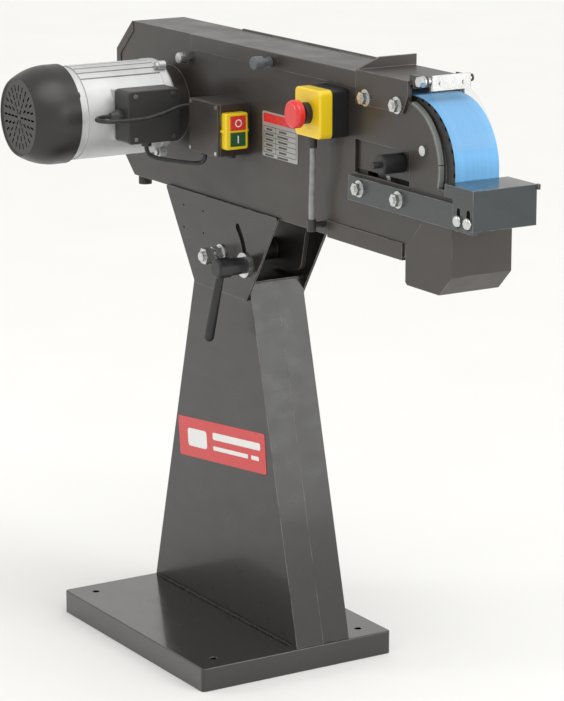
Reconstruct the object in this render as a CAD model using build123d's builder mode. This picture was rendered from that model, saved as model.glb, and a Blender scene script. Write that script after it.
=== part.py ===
from build123d import *
import math
import os

# Pedestal belt grinder. Millimetres, +Z up, +X towards the contact wheel, -Y the operator's side.
# The origin is the centre of the four floor-bolt holes, on the floor.

# ---- Driving dimensions -------------------------------------------------------------------

# Pedestal
BASE_LENGTH = 460
BASE_WIDTH = 350
BASE_HEIGHT = 38
BASE_SHEET = 4
BASE_CORNER = 6
ANCHOR_SPACING_X = 388
ANCHOR_SPACING_Y = 270
ANCHOR_HOLE = 12
ANCHOR_SLEEVE = 24
COLUMN_FOOT_HALF = 227
COLUMN_TOP_HALF = 84
COLUMN_TOP = 600
COLUMN_SHEET = 3
COLUMN_STEP = 1.5
COLUMN_CAP = 4
YOKE_PLATE = 4
YOKE_FOOT = 574
YOKE_TOP = 721.5
YOKE_BACK_DROP = 1.5
YOKE_FOOT_HALF = 81
YOKE_TOP_HALF = 175
YOKE_CORNER = 4
LABEL_LENGTH = 276
LABEL_HEIGHT = 66

# Head tilt
PIVOT_X = 5
PIVOT_Z = 636
PIVOT_R = 8
STUD_REACH = 72
STUD_ANGLE = -4
STUD_R = 6
TILT_MAX = 50
CHEEK = 8

# Head housing
HEAD_DEPTH = 97
PLATE = 5
SHELL = 3
DOOR = 2.7
HEAD_REAR = -342
HEAD_BOTTOM = 719
HEAD_TOP = 976
REAR_CHAMFER_X = 54
REAR_CHAMFER_Z = 51
HEAD_FRONT = 523
PAN_END = 513
NOSE_R = 91
NOSE_X = 507
NOSE_Z = 858
TONGUE_END = 645
TONGUE_TOP = 835
TONGUE_BOTTOM = 781
TONGUE_START = 571
LID_START = -92
LID_END = 390
LID_LIP = 24

# Belt drive
BELT_WIDTH = 75
BELT_LENGTH = 2000
BELT_THICK = 1
WHEEL_R = 99.7
WHEEL_X = 525
WHEEL_Z = 856
TYRE_DEPTH = 20.7
AXLE_R = 10
TENSION_TRAVEL = 15
SHAFT_R = 12

# Motor
MOTOR_R = 75
FRAME_WALL = 6
MOTOR_FRONT = -48
MOTOR_FACE = -30
MOTOR_BACK = -190
COWL_R = 79
COWL_RIM = -205
COWL_END = -278

# Electrical boxes
SWITCH_BOX_X = 88
SWITCH_BOX_Z = 82
SWITCH_BOX_DEPTH = 52
TERMINAL_Y = 94
TERMINAL_Z = 84
ESTOP_X = 70
ESTOP_Z = 72
CABLE_R = 3.5

# Work rest, dust box and shield
ARM_THICK = 8
ARM_Z = (785, 822)
REST_TOP = 848.6
REST_X = (632, 701)
REST_Y = (-14, 97)
REST_TRAVEL = 8
SHIELD_AXIS = (560, 982)
SHIELD_SHEET = 2

# Clearances
RUN = 0.05
FACE_GAP = 0.3
YOKE_GAP = 0.75

# ---- Sizes that follow ---------------------------------------------------------------------

BELT_Y = HEAD_DEPTH / 2
BELT_LOW_Y = BELT_Y - BELT_WIDTH / 2
BELT_HIGH_Y = BELT_Y + BELT_WIDTH / 2
BELT_R = WHEEL_R + FACE_GAP
CENTRES = (BELT_LENGTH - 2 * math.pi * BELT_R) / 2
DRIVE_X = WHEEL_X - CENTRES
YOKE_FRONT = -YOKE_GAP
YOKE_BACK = HEAD_DEPTH + YOKE_GAP
SLOT_HALF = STUD_R + 0.6
STUD_X = PIVOT_X + STUD_REACH * math.cos(math.radians(STUD_ANGLE))
STUD_Z = PIVOT_Z + STUD_REACH * math.sin(math.radians(STUD_ANGLE))
DOOR_INNER = HEAD_DEPTH - DOOR
SHELL_BACK = DOOR_INNER - FACE_GAP
LID_TOP_Z = HEAD_TOP
LID_UNDER = LID_TOP_Z - SHELL

os.makedirs("parts", exist_ok=True)


def save(part, name):
    """Label one finished piece and write its STEP file."""
    part.label = name
    export_step(part, "parts/" + name + ".step")


def slab(x, y, z, mode=Mode.ADD):
    """Add or cut a box that spans three (low, high) ranges."""
    centre = ((x[0] + x[1]) / 2, (y[0] + y[1]) / 2, (z[0] + z[1]) / 2)
    with Locations(centre):
        Box(x[1] - x[0], y[1] - y[0], z[1] - z[0], mode=mode)


def side(points, y_high):
    """A closed outline of (x, z) points on the upright plane at y_high; it extrudes towards -Y."""
    with BuildSketch(Plane.XZ.offset(-y_high)) as sketch:
        with BuildLine():
            Polyline(*points, close=True)
        make_face()
    return sketch.sketch


def rod_y(x, z, radius, y, mode=Mode.ADD):
    """Add or cut a round bar along Y between the (low, high) values of y."""
    with Locations(Location((x, (y[0] + y[1]) / 2, z), (90, 0, 0))):
        Cylinder(radius, y[1] - y[0], mode=mode)


def rod_x(y, z, radius, x, mode=Mode.ADD):
    """Add or cut a round bar along X between the (low, high) values of x."""
    with Locations(Location(((x[0] + x[1]) / 2, y, z), (0, 90, 0))):
        Cylinder(radius, x[1] - x[0], mode=mode)


def rod_z(x, y, radius, z, mode=Mode.ADD):
    """Add or cut a round bar along Z between the (low, high) values of z."""
    with Locations((x, y, (z[0] + z[1]) / 2)):
        Cylinder(radius, z[1] - z[0], mode=mode)


def hexagon_y(x, z, across_flats, y):
    """A hexagon sketch on the upright plane at y; it extrudes towards -Y."""
    with BuildSketch(Plane.XZ.offset(-y)) as sketch:
        with Locations((x, z)):
            RegularPolygon(across_flats / 2, 6, major_radius=False)
    return sketch.sketch


# ---- Pedestal ------------------------------------------------------------------------------

with BuildPart() as base_tray:
    slab((-BASE_LENGTH / 2, BASE_LENGTH / 2), (-BASE_WIDTH / 2, BASE_WIDTH / 2), (0, BASE_HEIGHT))
    fillet(base_tray.edges().filter_by(Axis.Z), BASE_CORNER)
    fillet(base_tray.faces().sort_by(Axis.Z)[-1].edges(), BASE_SHEET / 2)
    slab(
        (-BASE_LENGTH / 2 + BASE_SHEET, BASE_LENGTH / 2 - BASE_SHEET),
        (-BASE_WIDTH / 2 + BASE_SHEET, BASE_WIDTH / 2 - BASE_SHEET),
        (0, BASE_HEIGHT - BASE_SHEET),
        Mode.SUBTRACT,
    )
    with BuildSketch(Plane.XY):
        with GridLocations(ANCHOR_SPACING_X, ANCHOR_SPACING_Y, 2, 2):
            Circle(ANCHOR_SLEEVE / 2)
    extrude(amount=BASE_HEIGHT - BASE_SHEET)
    with BuildSketch(Plane.XY):
        with GridLocations(ANCHOR_SPACING_X, ANCHOR_SPACING_Y, 2, 2):
            Circle(ANCHOR_HOLE / 2)
    extrude(amount=BASE_HEIGHT, mode=Mode.SUBTRACT)
save(base_tray.part, "base_tray")


def column_outline(inset):
    """The column's upright outline, moved in by inset at each sloping side."""
    return [
        (-COLUMN_FOOT_HALF + inset, BASE_HEIGHT),
        (COLUMN_FOOT_HALF - inset, BASE_HEIGHT),
        (COLUMN_TOP_HALF - inset, COLUMN_TOP),
        (-COLUMN_TOP_HALF + inset, COLUMN_TOP),
    ]


COLUMN_SEAM = (YOKE_FRONT + YOKE_BACK) / 2
with BuildPart() as column_front:
    extrude(side(column_outline(0), COLUMN_SEAM), amount=COLUMN_SEAM - YOKE_FRONT)
    extrude(
        side(column_outline(COLUMN_SHEET), COLUMN_SEAM),
        amount=COLUMN_SEAM - YOKE_FRONT - COLUMN_SHEET,
        mode=Mode.SUBTRACT,
    )
save(column_front.part, "column_front")

with BuildPart() as column_rear:
    extrude(side(column_outline(COLUMN_STEP), YOKE_BACK), amount=YOKE_BACK - COLUMN_SEAM)
    extrude(
        side(column_outline(COLUMN_STEP + COLUMN_SHEET), YOKE_BACK - COLUMN_SHEET),
        amount=YOKE_BACK - COLUMN_SHEET - COLUMN_SEAM,
        mode=Mode.SUBTRACT,
    )
    slab(
        (-COLUMN_TOP_HALF, COLUMN_TOP_HALF),
        (YOKE_FRONT, YOKE_BACK),
        (COLUMN_TOP, COLUMN_TOP + COLUMN_CAP),
    )
save(column_rear.part, "column_rear")

YOKE_OUTLINE = [
    (-YOKE_FOOT_HALF, YOKE_FOOT),
    (YOKE_FOOT_HALF, YOKE_FOOT),
    (YOKE_TOP_HALF, YOKE_TOP),
    (-YOKE_TOP_HALF, YOKE_TOP),
]


def pivot_point(radius, angle):
    """A point at a radius and an angle in degrees round the head's pivot."""
    turn = math.radians(angle)
    return (PIVOT_X + radius * math.cos(turn), PIVOT_Z + radius * math.sin(turn))


with BuildPart() as yoke_front:
    extrude(side(YOKE_OUTLINE, YOKE_FRONT), amount=YOKE_PLATE)
    fillet(yoke_front.edges().filter_by(Axis.Y).group_by(Axis.Z)[-1], YOKE_CORNER)
    rod_y(PIVOT_X, PIVOT_Z, PIVOT_R, (YOKE_FRONT - YOKE_PLATE, YOKE_FRONT), Mode.SUBTRACT)
    with BuildSketch(Plane.XZ.offset(-YOKE_FRONT)):
        with BuildLine():
            CenterArc((PIVOT_X, PIVOT_Z), STUD_REACH + SLOT_HALF, STUD_ANGLE, TILT_MAX)
            CenterArc((PIVOT_X, PIVOT_Z), STUD_REACH - SLOT_HALF, STUD_ANGLE, TILT_MAX)
            for end_angle, beyond in ((STUD_ANGLE, -1), (STUD_ANGLE + TILT_MAX, 1)):
                round_angle = end_angle + beyond * math.degrees(SLOT_HALF / STUD_REACH)
                ThreePointArc(
                    pivot_point(STUD_REACH - SLOT_HALF, end_angle),
                    pivot_point(STUD_REACH, round_angle),
                    pivot_point(STUD_REACH + SLOT_HALF, end_angle),
                )
        make_face()
    extrude(amount=YOKE_PLATE, mode=Mode.SUBTRACT)
    with BuildSketch(Plane.XZ.offset(-YOKE_FRONT)):
        with Locations((-84.5, 678)):
            with GridLocations(62, 36, 2, 2):
                Circle(2.2)
    extrude(amount=YOKE_PLATE, mode=Mode.SUBTRACT)
save(yoke_front.part, "yoke_front")

with BuildPart() as yoke_back:
    extrude(side(YOKE_OUTLINE, YOKE_BACK + YOKE_PLATE), amount=YOKE_PLATE)
    slab(
        (-YOKE_TOP_HALF, YOKE_TOP_HALF),
        (YOKE_BACK, YOKE_BACK + YOKE_PLATE),
        (HEAD_BOTTOM - YOKE_BACK_DROP, YOKE_TOP),
        Mode.SUBTRACT,
    )
    fillet(yoke_back.edges().filter_by(Axis.Y).group_by(Axis.Z)[-1], YOKE_CORNER)
    rod_y(PIVOT_X, PIVOT_Z, PIVOT_R, (YOKE_BACK, YOKE_BACK + YOKE_PLATE), Mode.SUBTRACT)
save(yoke_back.part, "yoke_back")

with BuildPart() as column_label:
    with BuildSketch(Plane(origin=(-5, YOKE_FRONT, 319), x_dir=(1, 0, 0.11), z_dir=(0, -1, 0))):
        RectangleRounded(LABEL_LENGTH, LABEL_HEIGHT, 4)
    extrude(amount=0.5)
save(column_label.part, "column_label")

NUT_FLATS = 24
YOKE_FACE = YOKE_FRONT - YOKE_PLATE
with BuildPart() as pivot_bolt:
    rod_y(PIVOT_X, PIVOT_Z, PIVOT_R, (YOKE_FACE - 40, YOKE_BACK + YOKE_PLATE + 3))
    extrude(
        hexagon_y(PIVOT_X, PIVOT_Z, NUT_FLATS, YOKE_BACK + YOKE_PLATE + 13), amount=10
    )
    chamfer(pivot_bolt.faces().sort_by(Axis.Y)[0].edges(), 1.5)
    rod_y(PIVOT_X, PIVOT_Z, 16, (YOKE_FACE - 3, YOKE_FACE))
    rod_y(PIVOT_X, PIVOT_Z, 16, (YOKE_BACK + YOKE_PLATE, YOKE_BACK + YOKE_PLATE + 3))
    for nut_start, nut_length in ((3, 13), (20, 14)):
        nut_face = YOKE_FACE - nut_start
        extrude(hexagon_y(PIVOT_X, PIVOT_Z, NUT_FLATS, nut_face), amount=nut_length)
save(pivot_bolt.part, "pivot_bolt")

# ---- Head frame ----------------------------------------------------------------------------

REAR_OUTLINE = [
    (HEAD_REAR + REAR_CHAMFER_X, HEAD_BOTTOM),
    (HEAD_REAR, HEAD_BOTTOM + REAR_CHAMFER_Z),
    (HEAD_REAR, HEAD_TOP - REAR_CHAMFER_Z),
    (HEAD_REAR + REAR_CHAMFER_X, HEAD_TOP),
]
NOSE_TOP_ANGLE = 80


def nose_point(angle):
    """A point on the nose arc that rings the contact wheel, at an angle in degrees."""
    turn = math.radians(angle)
    return (NOSE_X + NOSE_R * math.cos(turn), NOSE_Z + NOSE_R * math.sin(turn))


def nose_angle(z):
    """The angle of the nose arc at height z, in degrees."""
    return math.degrees(math.asin((z - NOSE_Z) / NOSE_R))


def head_side(y_high, lid_z, tongue):
    """The head's side outline: rear chamfers, top edge, round nose and the lower front corner."""
    top = nose_point(NOSE_TOP_ANGLE)
    low_z = TONGUE_TOP if tongue else TONGUE_BOTTOM
    low = nose_point(nose_angle(low_z))
    middle = nose_point((NOSE_TOP_ANGLE + nose_angle(low_z)) / 2)
    start = REAR_OUTLINE + [(LID_START, HEAD_TOP), (LID_START, lid_z), (LID_END + 1, lid_z)]
    start = start + [(LID_END + 1, HEAD_TOP), (top[0], HEAD_TOP), top]
    finish = [low]
    if tongue:
        finish = finish + [
            (TONGUE_END, TONGUE_TOP),
            (TONGUE_END, TONGUE_BOTTOM),
            (TONGUE_START, TONGUE_BOTTOM),
        ]
    finish = finish + [(PAN_END, HEAD_BOTTOM), REAR_OUTLINE[0]]
    with BuildSketch(Plane.XZ.offset(-y_high)) as sketch:
        with BuildLine():
            Polyline(*start)
            ThreePointArc(top, middle, low)
            Polyline(*finish)
        make_face()
    return sketch.sketch


WINDOW_X = (384, 526)
WINDOW_Z = (826, 876)
SPACER_R = 62
SPACER_WALL = 6
SHAFT_ROOM = 8
PLATE_TOP_UNDER_LID = LID_UNDER - 1
with BuildPart() as frame_plate:
    extrude(head_side(PLATE, PLATE_TOP_UNDER_LID, True), amount=PLATE)
    slab(WINDOW_X, (0, PLATE), WINDOW_Z, Mode.SUBTRACT)
    rod_y(DRIVE_X, WHEEL_Z, SPACER_R, (MOTOR_FACE, 0))
    rod_y(DRIVE_X, WHEEL_Z, SPACER_R - SPACER_WALL, (MOTOR_FACE, 0), Mode.SUBTRACT)
    rod_y(DRIVE_X, WHEEL_Z, SHAFT_R + SHAFT_ROOM, (0, PLATE), Mode.SUBTRACT)
save(frame_plate.part, "frame_plate")

with BuildPart() as rear_shell:
    outer = REAR_OUTLINE + [(LID_START, HEAD_TOP)]
    inner = [
        (LID_START, HEAD_TOP - SHELL),
        (HEAD_REAR + REAR_CHAMFER_X + SHELL / 2, HEAD_TOP - SHELL),
        (HEAD_REAR + SHELL, HEAD_TOP - REAR_CHAMFER_Z - SHELL / 2),
        (HEAD_REAR + SHELL, HEAD_BOTTOM + REAR_CHAMFER_Z + SHELL / 2),
        (HEAD_REAR + REAR_CHAMFER_X + SHELL / 2, HEAD_BOTTOM + SHELL),
        (PAN_END, HEAD_BOTTOM + SHELL),
        (PAN_END, HEAD_BOTTOM),
    ]
    extrude(side(outer + inner, SHELL_BACK), amount=SHELL_BACK - PLATE)
    strip = [
        (HEAD_REAR, HEAD_TOP - REAR_CHAMFER_Z),
        (HEAD_REAR + REAR_CHAMFER_X, HEAD_TOP),
        (HEAD_REAR + REAR_CHAMFER_X + 3, HEAD_TOP - 16),
        (HEAD_REAR + 13, HEAD_TOP - REAR_CHAMFER_Z - 7),
        (HEAD_REAR + 13, HEAD_TOP - REAR_CHAMFER_Z - 40),
        (HEAD_REAR, HEAD_TOP - REAR_CHAMFER_Z - 40),
    ]
    extrude(side(strip, 0), amount=1.5)
save(rear_shell.part, "rear_shell")

CHEEK_R = 28
STUD_BOSS_R = 18
with BuildPart() as pivot_bracket:
    for cheek_back in (CHEEK, HEAD_DEPTH):
        with BuildSketch(Plane.XZ.offset(-cheek_back)) as cheek:
            with Locations((PIVOT_X, PIVOT_Z)):
                Circle(CHEEK_R)
            with Locations((STUD_X, STUD_Z)):
                Circle(STUD_BOSS_R)
            with BuildLine():
                Polyline(
                    (PIVOT_X - CHEEK_R, PIVOT_Z),
                    (PIVOT_X - 60, HEAD_BOTTOM),
                    (STUD_X + 40, HEAD_BOTTOM),
                    (STUD_X + STUD_BOSS_R, STUD_Z),
                    (STUD_X, STUD_Z - STUD_BOSS_R),
                    (PIVOT_X, PIVOT_Z - CHEEK_R),
                    close=True,
                )
            make_face()
        extrude(cheek.sketch, amount=CHEEK)
    rod_y(PIVOT_X, PIVOT_Z, 18, (CHEEK, HEAD_DEPTH - CHEEK))
    slab((PIVOT_X - 50, STUD_X + 30), (CHEEK, HEAD_DEPTH - CHEEK), (HEAD_BOTTOM - 6, HEAD_BOTTOM))
    rod_y(PIVOT_X, PIVOT_Z, PIVOT_R + RUN, (0, HEAD_DEPTH), Mode.SUBTRACT)
    rod_y(STUD_X, STUD_Z, STUD_R, (0, CHEEK), Mode.SUBTRACT)
save(pivot_bracket.part, "pivot_bracket")

WASHER_BACK = YOKE_FACE - RUN
HUB_BACK = WASHER_BACK - 4
HUB_FRONT = HUB_BACK - 50
HANDLE_Y = HUB_FRONT + 11
HANDLE_END = (STUD_X - 40, STUD_Z - 118)
with BuildPart() as clamp_lever:
    with BuildSketch(Plane.XZ.offset(-HUB_BACK + RUN)):
        with Locations((STUD_X, STUD_Z)):
            Circle(13)
    extrude(amount=HUB_BACK - HUB_FRONT - 22, taper=-3)
    rod_y(STUD_X, STUD_Z, 16, (HUB_FRONT, HUB_FRONT + 24))
    chamfer(clamp_lever.faces().sort_by(Axis.Y)[0].edges(), 3)
    handle_direction = Vector(HANDLE_END[0] - STUD_X, 0, HANDLE_END[1] - STUD_Z)
    handle_plane = Plane(
        origin=(STUD_X, HANDLE_Y, STUD_Z), x_dir=(0, 1, 0), z_dir=handle_direction.normalized()
    )
    with BuildSketch(handle_plane) as handle_root:
        Circle(6.5)
    with BuildSketch(handle_plane.offset(handle_direction.length)) as handle_tip:
        Circle(8.5)
    loft([handle_root.sketch, handle_tip.sketch])
    with Locations((HANDLE_END[0], HANDLE_Y, HANDLE_END[1])):
        Sphere(8.5)
    rod_y(STUD_X, STUD_Z, STUD_R + RUN, (HUB_BACK - 35, HUB_BACK), Mode.SUBTRACT)
save(clamp_lever.part, "clamp_lever")

GUARD_PAN_X = (313, PAN_END)
with BuildPart() as lower_guard:
    slab(GUARD_PAN_X, (-2.5, 0), (HEAD_BOTTOM - 2.5, HEAD_BOTTOM + 23))
    slab(GUARD_PAN_X, (-2.5, SHELL_BACK), (HEAD_BOTTOM - 2.5, HEAD_BOTTOM))
save(lower_guard.part, "lower_guard")

with BuildPart() as rubber_buffers:
    for buffer_y in (12.5, HEAD_DEPTH - 16):
        rod_z(HEAD_REAR + REAR_CHAMFER_X + 14, buffer_y, 11, (HEAD_BOTTOM - 14, HEAD_BOTTOM))
save(rubber_buffers.part, "rubber_buffers")

# ---- Lid, belt door and their hinges -------------------------------------------------------

HINGE_R = 3
LID_AXIS_Y = HEAD_DEPTH - 2
LID_AXIS_Z = HEAD_TOP - 0.5
LID_PIN_R = 1.5
LID_GAP = 0.5
LID_X = (LID_START + LID_GAP, LID_END - LID_GAP)
KNUCKLES = 5
KNUCKLE_PITCH = (LID_X[1] - LID_X[0]) / KNUCKLES
LID_LIP_BACK = -0.6
LID_LIP_FRONT = LID_LIP_BACK - 2.4
TOP_RAIL_Y = (84, SHELL_BACK - 1.5)

DOOR_AXIS_X = HEAD_REAR - 4.5
DOOR_AXIS_Y = SHELL_BACK
DOOR_PIN_R = 2
DOOR_KNUCKLE_R = 4.5
DOOR_HINGES = (800, 895)
DOOR_KNUCKLE = 12


def knuckle_span(index):
    """The X range of one lid hinge knuckle, with a small gap at each end."""
    start = LID_X[0] + index * KNUCKLE_PITCH
    return (start + 0.2, start + KNUCKLE_PITCH - 0.2)


with BuildPart() as hinge_set:
    rail_top = LID_UNDER - 1
    slab((LID_START, HEAD_FRONT), TOP_RAIL_Y, (rail_top - SHELL, rail_top))
    slab((LID_START, HEAD_FRONT), (TOP_RAIL_Y[1] - SHELL, TOP_RAIL_Y[1]), (rail_top - 18, rail_top))
    for index in range(0, KNUCKLES, 2):
        span = knuckle_span(index)
        slab(span, (TOP_RAIL_Y[1], TOP_RAIL_Y[1] + 1.5), (LID_UNDER - 14, LID_AXIS_Z - 1))
        rod_x(LID_AXIS_Y, LID_AXIS_Z, HINGE_R, span)
        slab(span, (TOP_RAIL_Y[1], LID_AXIS_Y), (LID_AXIS_Z - HINGE_R, LID_AXIS_Z - 1))
    rod_x(LID_AXIS_Y, LID_AXIS_Z, LID_PIN_R, (LID_X[0], LID_X[1]))
    for hinge_z in DOOR_HINGES:
        rod_z(DOOR_AXIS_X, DOOR_AXIS_Y, DOOR_KNUCKLE_R, (hinge_z - DOOR_KNUCKLE, hinge_z))
        slab(
            (DOOR_AXIS_X, HEAD_REAR),
            (DOOR_AXIS_Y - 16, DOOR_AXIS_Y),
            (hinge_z - DOOR_KNUCKLE, hinge_z),
        )
        rod_z(DOOR_AXIS_X, DOOR_AXIS_Y, DOOR_PIN_R, (hinge_z, hinge_z + DOOR_KNUCKLE))
save(hinge_set.part, "hinge_set")

with BuildPart() as lid:
    slab(LID_X, (LID_LIP_FRONT, LID_AXIS_Y - HINGE_R - 1), (LID_UNDER, LID_TOP_Z))
    slab(LID_X, (LID_LIP_FRONT, LID_LIP_BACK), (LID_TOP_Z - LID_LIP, LID_TOP_Z))
    fillet(
        lid.edges().filter_by(Axis.X).sort_by(Axis.Y)[0:2].sort_by(Axis.Z)[-1], 1.5
    )
    for index in range(1, KNUCKLES, 2):
        span = knuckle_span(index)
        rod_x(LID_AXIS_Y, LID_AXIS_Z, HINGE_R, span)
        slab(span, (LID_AXIS_Y - HINGE_R - 1, LID_AXIS_Y), (LID_UNDER, LID_TOP_Z))
        rod_x(LID_AXIS_Y, LID_AXIS_Z, LID_PIN_R + RUN, (span[0] - 0.2, span[1] + 0.2), Mode.SUBTRACT)
save(lid.part, "lid")

LID_KNOB_X = 151
LID_KNOB_Z = 961
with BuildPart() as lid_knob:
    rod_y(LID_KNOB_X, LID_KNOB_Z, 8, (LID_LIP_FRONT - 5, LID_LIP_FRONT))
    rod_y(LID_KNOB_X, LID_KNOB_Z, 6, (LID_LIP_FRONT - 16, LID_LIP_FRONT - 5))
    rod_y(LID_KNOB_X, LID_KNOB_Z, 10, (LID_LIP_FRONT - 32, LID_LIP_FRONT - 16))
    fillet(lid_knob.faces().sort_by(Axis.Y)[0].edges(), 3)
save(lid_knob.part, "lid_knob")

TRACKING_X = -101
TRACKING_Z = 938
with BuildPart() as tracking_knob:
    rod_y(TRACKING_X, TRACKING_Z, 6, (-5, 0))
    rod_y(TRACKING_X, TRACKING_Z, 9, (-22, -5))
    chamfer(tracking_knob.faces().sort_by(Axis.Y)[0].edges(), 1.5)
    with BuildSketch(Plane.XZ.offset(5)):
        with Locations((TRACKING_X, TRACKING_Z)):
            with PolarLocations(10, 16):
                Circle(1.5)
    extrude(amount=17, mode=Mode.SUBTRACT)
save(tracking_knob.part, "tracking_knob")

with BuildPart() as belt_door:
    extrude(head_side(HEAD_DEPTH, PLATE_TOP_UNDER_LID, False), amount=DOOR)
    under_lid = (PLATE_TOP_UNDER_LID - 2, HEAD_TOP)
    slab((LID_START, HEAD_FRONT), (DOOR_INNER, HEAD_DEPTH), under_lid, Mode.SUBTRACT)
    for hinge_z in DOOR_HINGES:
        knuckle = (hinge_z + 0.2, hinge_z + DOOR_KNUCKLE)
        slab((DOOR_AXIS_X, HEAD_REAR + 6), (DOOR_INNER, HEAD_DEPTH), knuckle)
        rod_z(DOOR_AXIS_X, DOOR_AXIS_Y, DOOR_KNUCKLE_R, knuckle)
        rod_z(DOOR_AXIS_X, DOOR_AXIS_Y, DOOR_PIN_R + RUN, knuckle, Mode.SUBTRACT)
        slab((HEAD_REAR - 1, HEAD_REAR), (SHELL_BACK - 10, DOOR_INNER), knuckle, Mode.SUBTRACT)
save(belt_door.part, "belt_door")

DOOR_KNOB = (452, 748)
with BuildPart() as door_knob:
    rod_y(DOOR_KNOB[0], DOOR_KNOB[1], 9, (HEAD_DEPTH, HEAD_DEPTH + 10))
    with BuildSketch(Plane.XZ.offset(-HEAD_DEPTH - 28)):
        with Locations(DOOR_KNOB):
            Circle(13)
            with PolarLocations(14, 5):
                Circle(6)
    extrude(amount=18)
    chamfer(door_knob.faces().sort_by(Axis.Y)[-1].edges(), 1.5)
save(door_knob.part, "door_knob")

# ---- Wheel guard and its fixings -----------------------------------------------------------

GUARD_START = LID_END + 1
GUARD_SHEET = 3
GUARD_SIDE = 4
GUARD_END = 526
GUARD_CORNER_Z = 956
GUARD_BOTTOM = 930
GUARD_BACK = 96.5
LIP = 19
LIP_RISE = 36
LIP_END = 101
SHIELD_BACK = 79
EAR_BACK = (SHIELD_BACK + 1, SHIELD_BACK + 4)
EAR_START = GUARD_END - 2
with BuildPart() as wheel_guard:
    slab((GUARD_START, GUARD_END), (-GUARD_SIDE, GUARD_BACK), (HEAD_TOP, HEAD_TOP + GUARD_SHEET))
    side_points = [
        (GUARD_START, HEAD_TOP + GUARD_SHEET),
        (GUARD_END, HEAD_TOP + GUARD_SHEET),
        (GUARD_END, GUARD_CORNER_Z),
        (GUARD_END - 14, GUARD_BOTTOM),
        (GUARD_START, GUARD_BOTTOM),
    ]
    extrude(side(side_points, 0), amount=GUARD_SIDE)
    with BuildSketch(Plane.YZ.offset(GUARD_START)):
        with BuildLine():
            Polyline(
                (-GUARD_SIDE, HEAD_TOP),
                (-GUARD_SIDE, HEAD_TOP + GUARD_SHEET),
                (LIP_RISE, HEAD_TOP + LIP),
                (LIP_END, HEAD_TOP + LIP),
                (LIP_END, HEAD_TOP + GUARD_SHEET),
                (GUARD_BACK, HEAD_TOP),
                close=True,
            )
        make_face()
    extrude(amount=GUARD_SHEET)
    slab((GUARD_END - 2, GUARD_END), (PLATE, 92), (HEAD_TOP - 9, HEAD_TOP))
    for ear_y, ear_r in (((0, 4), 8), (EAR_BACK, 5.5)):
        with BuildSketch(Plane.XZ.offset(-ear_y[1])) as ear:
            with Locations(((EAR_START + SHIELD_AXIS[0]) / 2, SHIELD_AXIS[1] - 1)):
                Rectangle(SHIELD_AXIS[0] - EAR_START, 2 * ear_r - 2)
            with Locations(SHIELD_AXIS):
                Circle(ear_r)
        extrude(ear.sketch, amount=ear_y[1] - ear_y[0])
        rod_y(SHIELD_AXIS[0], SHIELD_AXIS[1], 3 + RUN, ear_y, Mode.SUBTRACT)
save(wheel_guard.part, "wheel_guard")

with BuildPart() as guard_strips:
    strip_split = 6
    strip_spans = (
        (NOSE_TOP_ANGLE - 4, strip_split + 0.4),
        (strip_split - 0.4, nose_angle(TONGUE_TOP) + 0.5),
    )
    for strip_span in strip_spans:
        with BuildSketch(Plane.XZ.offset(-8.5)) as strip_face:
            with BuildLine():
                start_angle, end_angle = strip_span
                inner_ends = [nose_point(start_angle), nose_point(end_angle)]
                scale = (NOSE_R + 3) / NOSE_R
                middle_angle = (start_angle + end_angle) / 2
                outer_points = [
                    (
                        NOSE_X + (point[0] - NOSE_X) * scale,
                        NOSE_Z + (point[1] - NOSE_Z) * scale,
                    )
                    for point in (nose_point(start_angle), nose_point(middle_angle), nose_point(end_angle))
                ]
                ThreePointArc(inner_ends[0], nose_point(middle_angle), inner_ends[1])
                ThreePointArc(*outer_points)
                Line(inner_ends[0], outer_points[0])
                Line(inner_ends[1], outer_points[2])
            make_face()
        extrude(strip_face.sketch, amount=8)
save(guard_strips.part, "guard_strips")

GUARD_BOLTS = [(419, 941), (501, 941)]
ARM_BOLTS = [(410, 806), (512, 806)]
RIVET = (563, 884)


def flanged_bolt(x, z, y):
    """A hexagon bolt with a washer flange, whose flange sits on the face at y."""
    rod_y(x, z, 12.5, (y - 2.5, y))
    extrude(hexagon_y(x, z, 17, y - 2.5), amount=8)
    rod_y(x, z, 5, (y - 13, y - 10.5))



# ---- Belt path ------------------------------------------------------------------------------

SLIDE_Y = (PLATE + 0.3, PLATE + 5)
SLIDE_Z = (832, 880)
RAIL_X = (330, 412)
PLATEN_FOOT = SLIDE_Z[1] + 16
with BuildPart() as platen:
    slab((-40, 400), (PLATE, BELT_HIGH_Y), (WHEEL_Z + BELT_R - 14, WHEEL_Z + BELT_R - 5))
    slab((-40, 400), (PLATE, PLATE + 4), (PLATEN_FOOT, WHEEL_Z + BELT_R - 14))
    slab((-40, 400), (BELT_LOW_Y, BELT_HIGH_Y), (WHEEL_Z + BELT_R - 5, WHEEL_Z + BELT_R - 0.3))
save(platen.part, "platen")

with BuildPart() as abrasive_belt:
    with BuildSketch(Plane.XZ.offset(-BELT_HIGH_Y)):
        with Locations(((DRIVE_X + WHEEL_X) / 2, WHEEL_Z)):
            SlotCenterToCenter(CENTRES, 2 * (BELT_R + BELT_THICK))
            SlotCenterToCenter(CENTRES, 2 * BELT_R, mode=Mode.SUBTRACT)
    extrude(amount=BELT_WIDTH)
save(abrasive_belt.part, "abrasive_belt")

with BuildPart() as slide_rails:
    for rail_z in (SLIDE_Z[0] - 8, SLIDE_Z[1] + 0.2):
        slab(RAIL_X, (PLATE, PLATE + 8), (rail_z, rail_z + 7.8))
    slab(RAIL_X, (PLATE + 5.3, PLATE + 8), (SLIDE_Z[0] - 0.2, SLIDE_Z[0] + 4))
    slab(RAIL_X, (PLATE + 5.3, PLATE + 8), (SLIDE_Z[1] - 4, SLIDE_Z[1] + 0.2))
save(slide_rails.part, "slide_rails")

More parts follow.
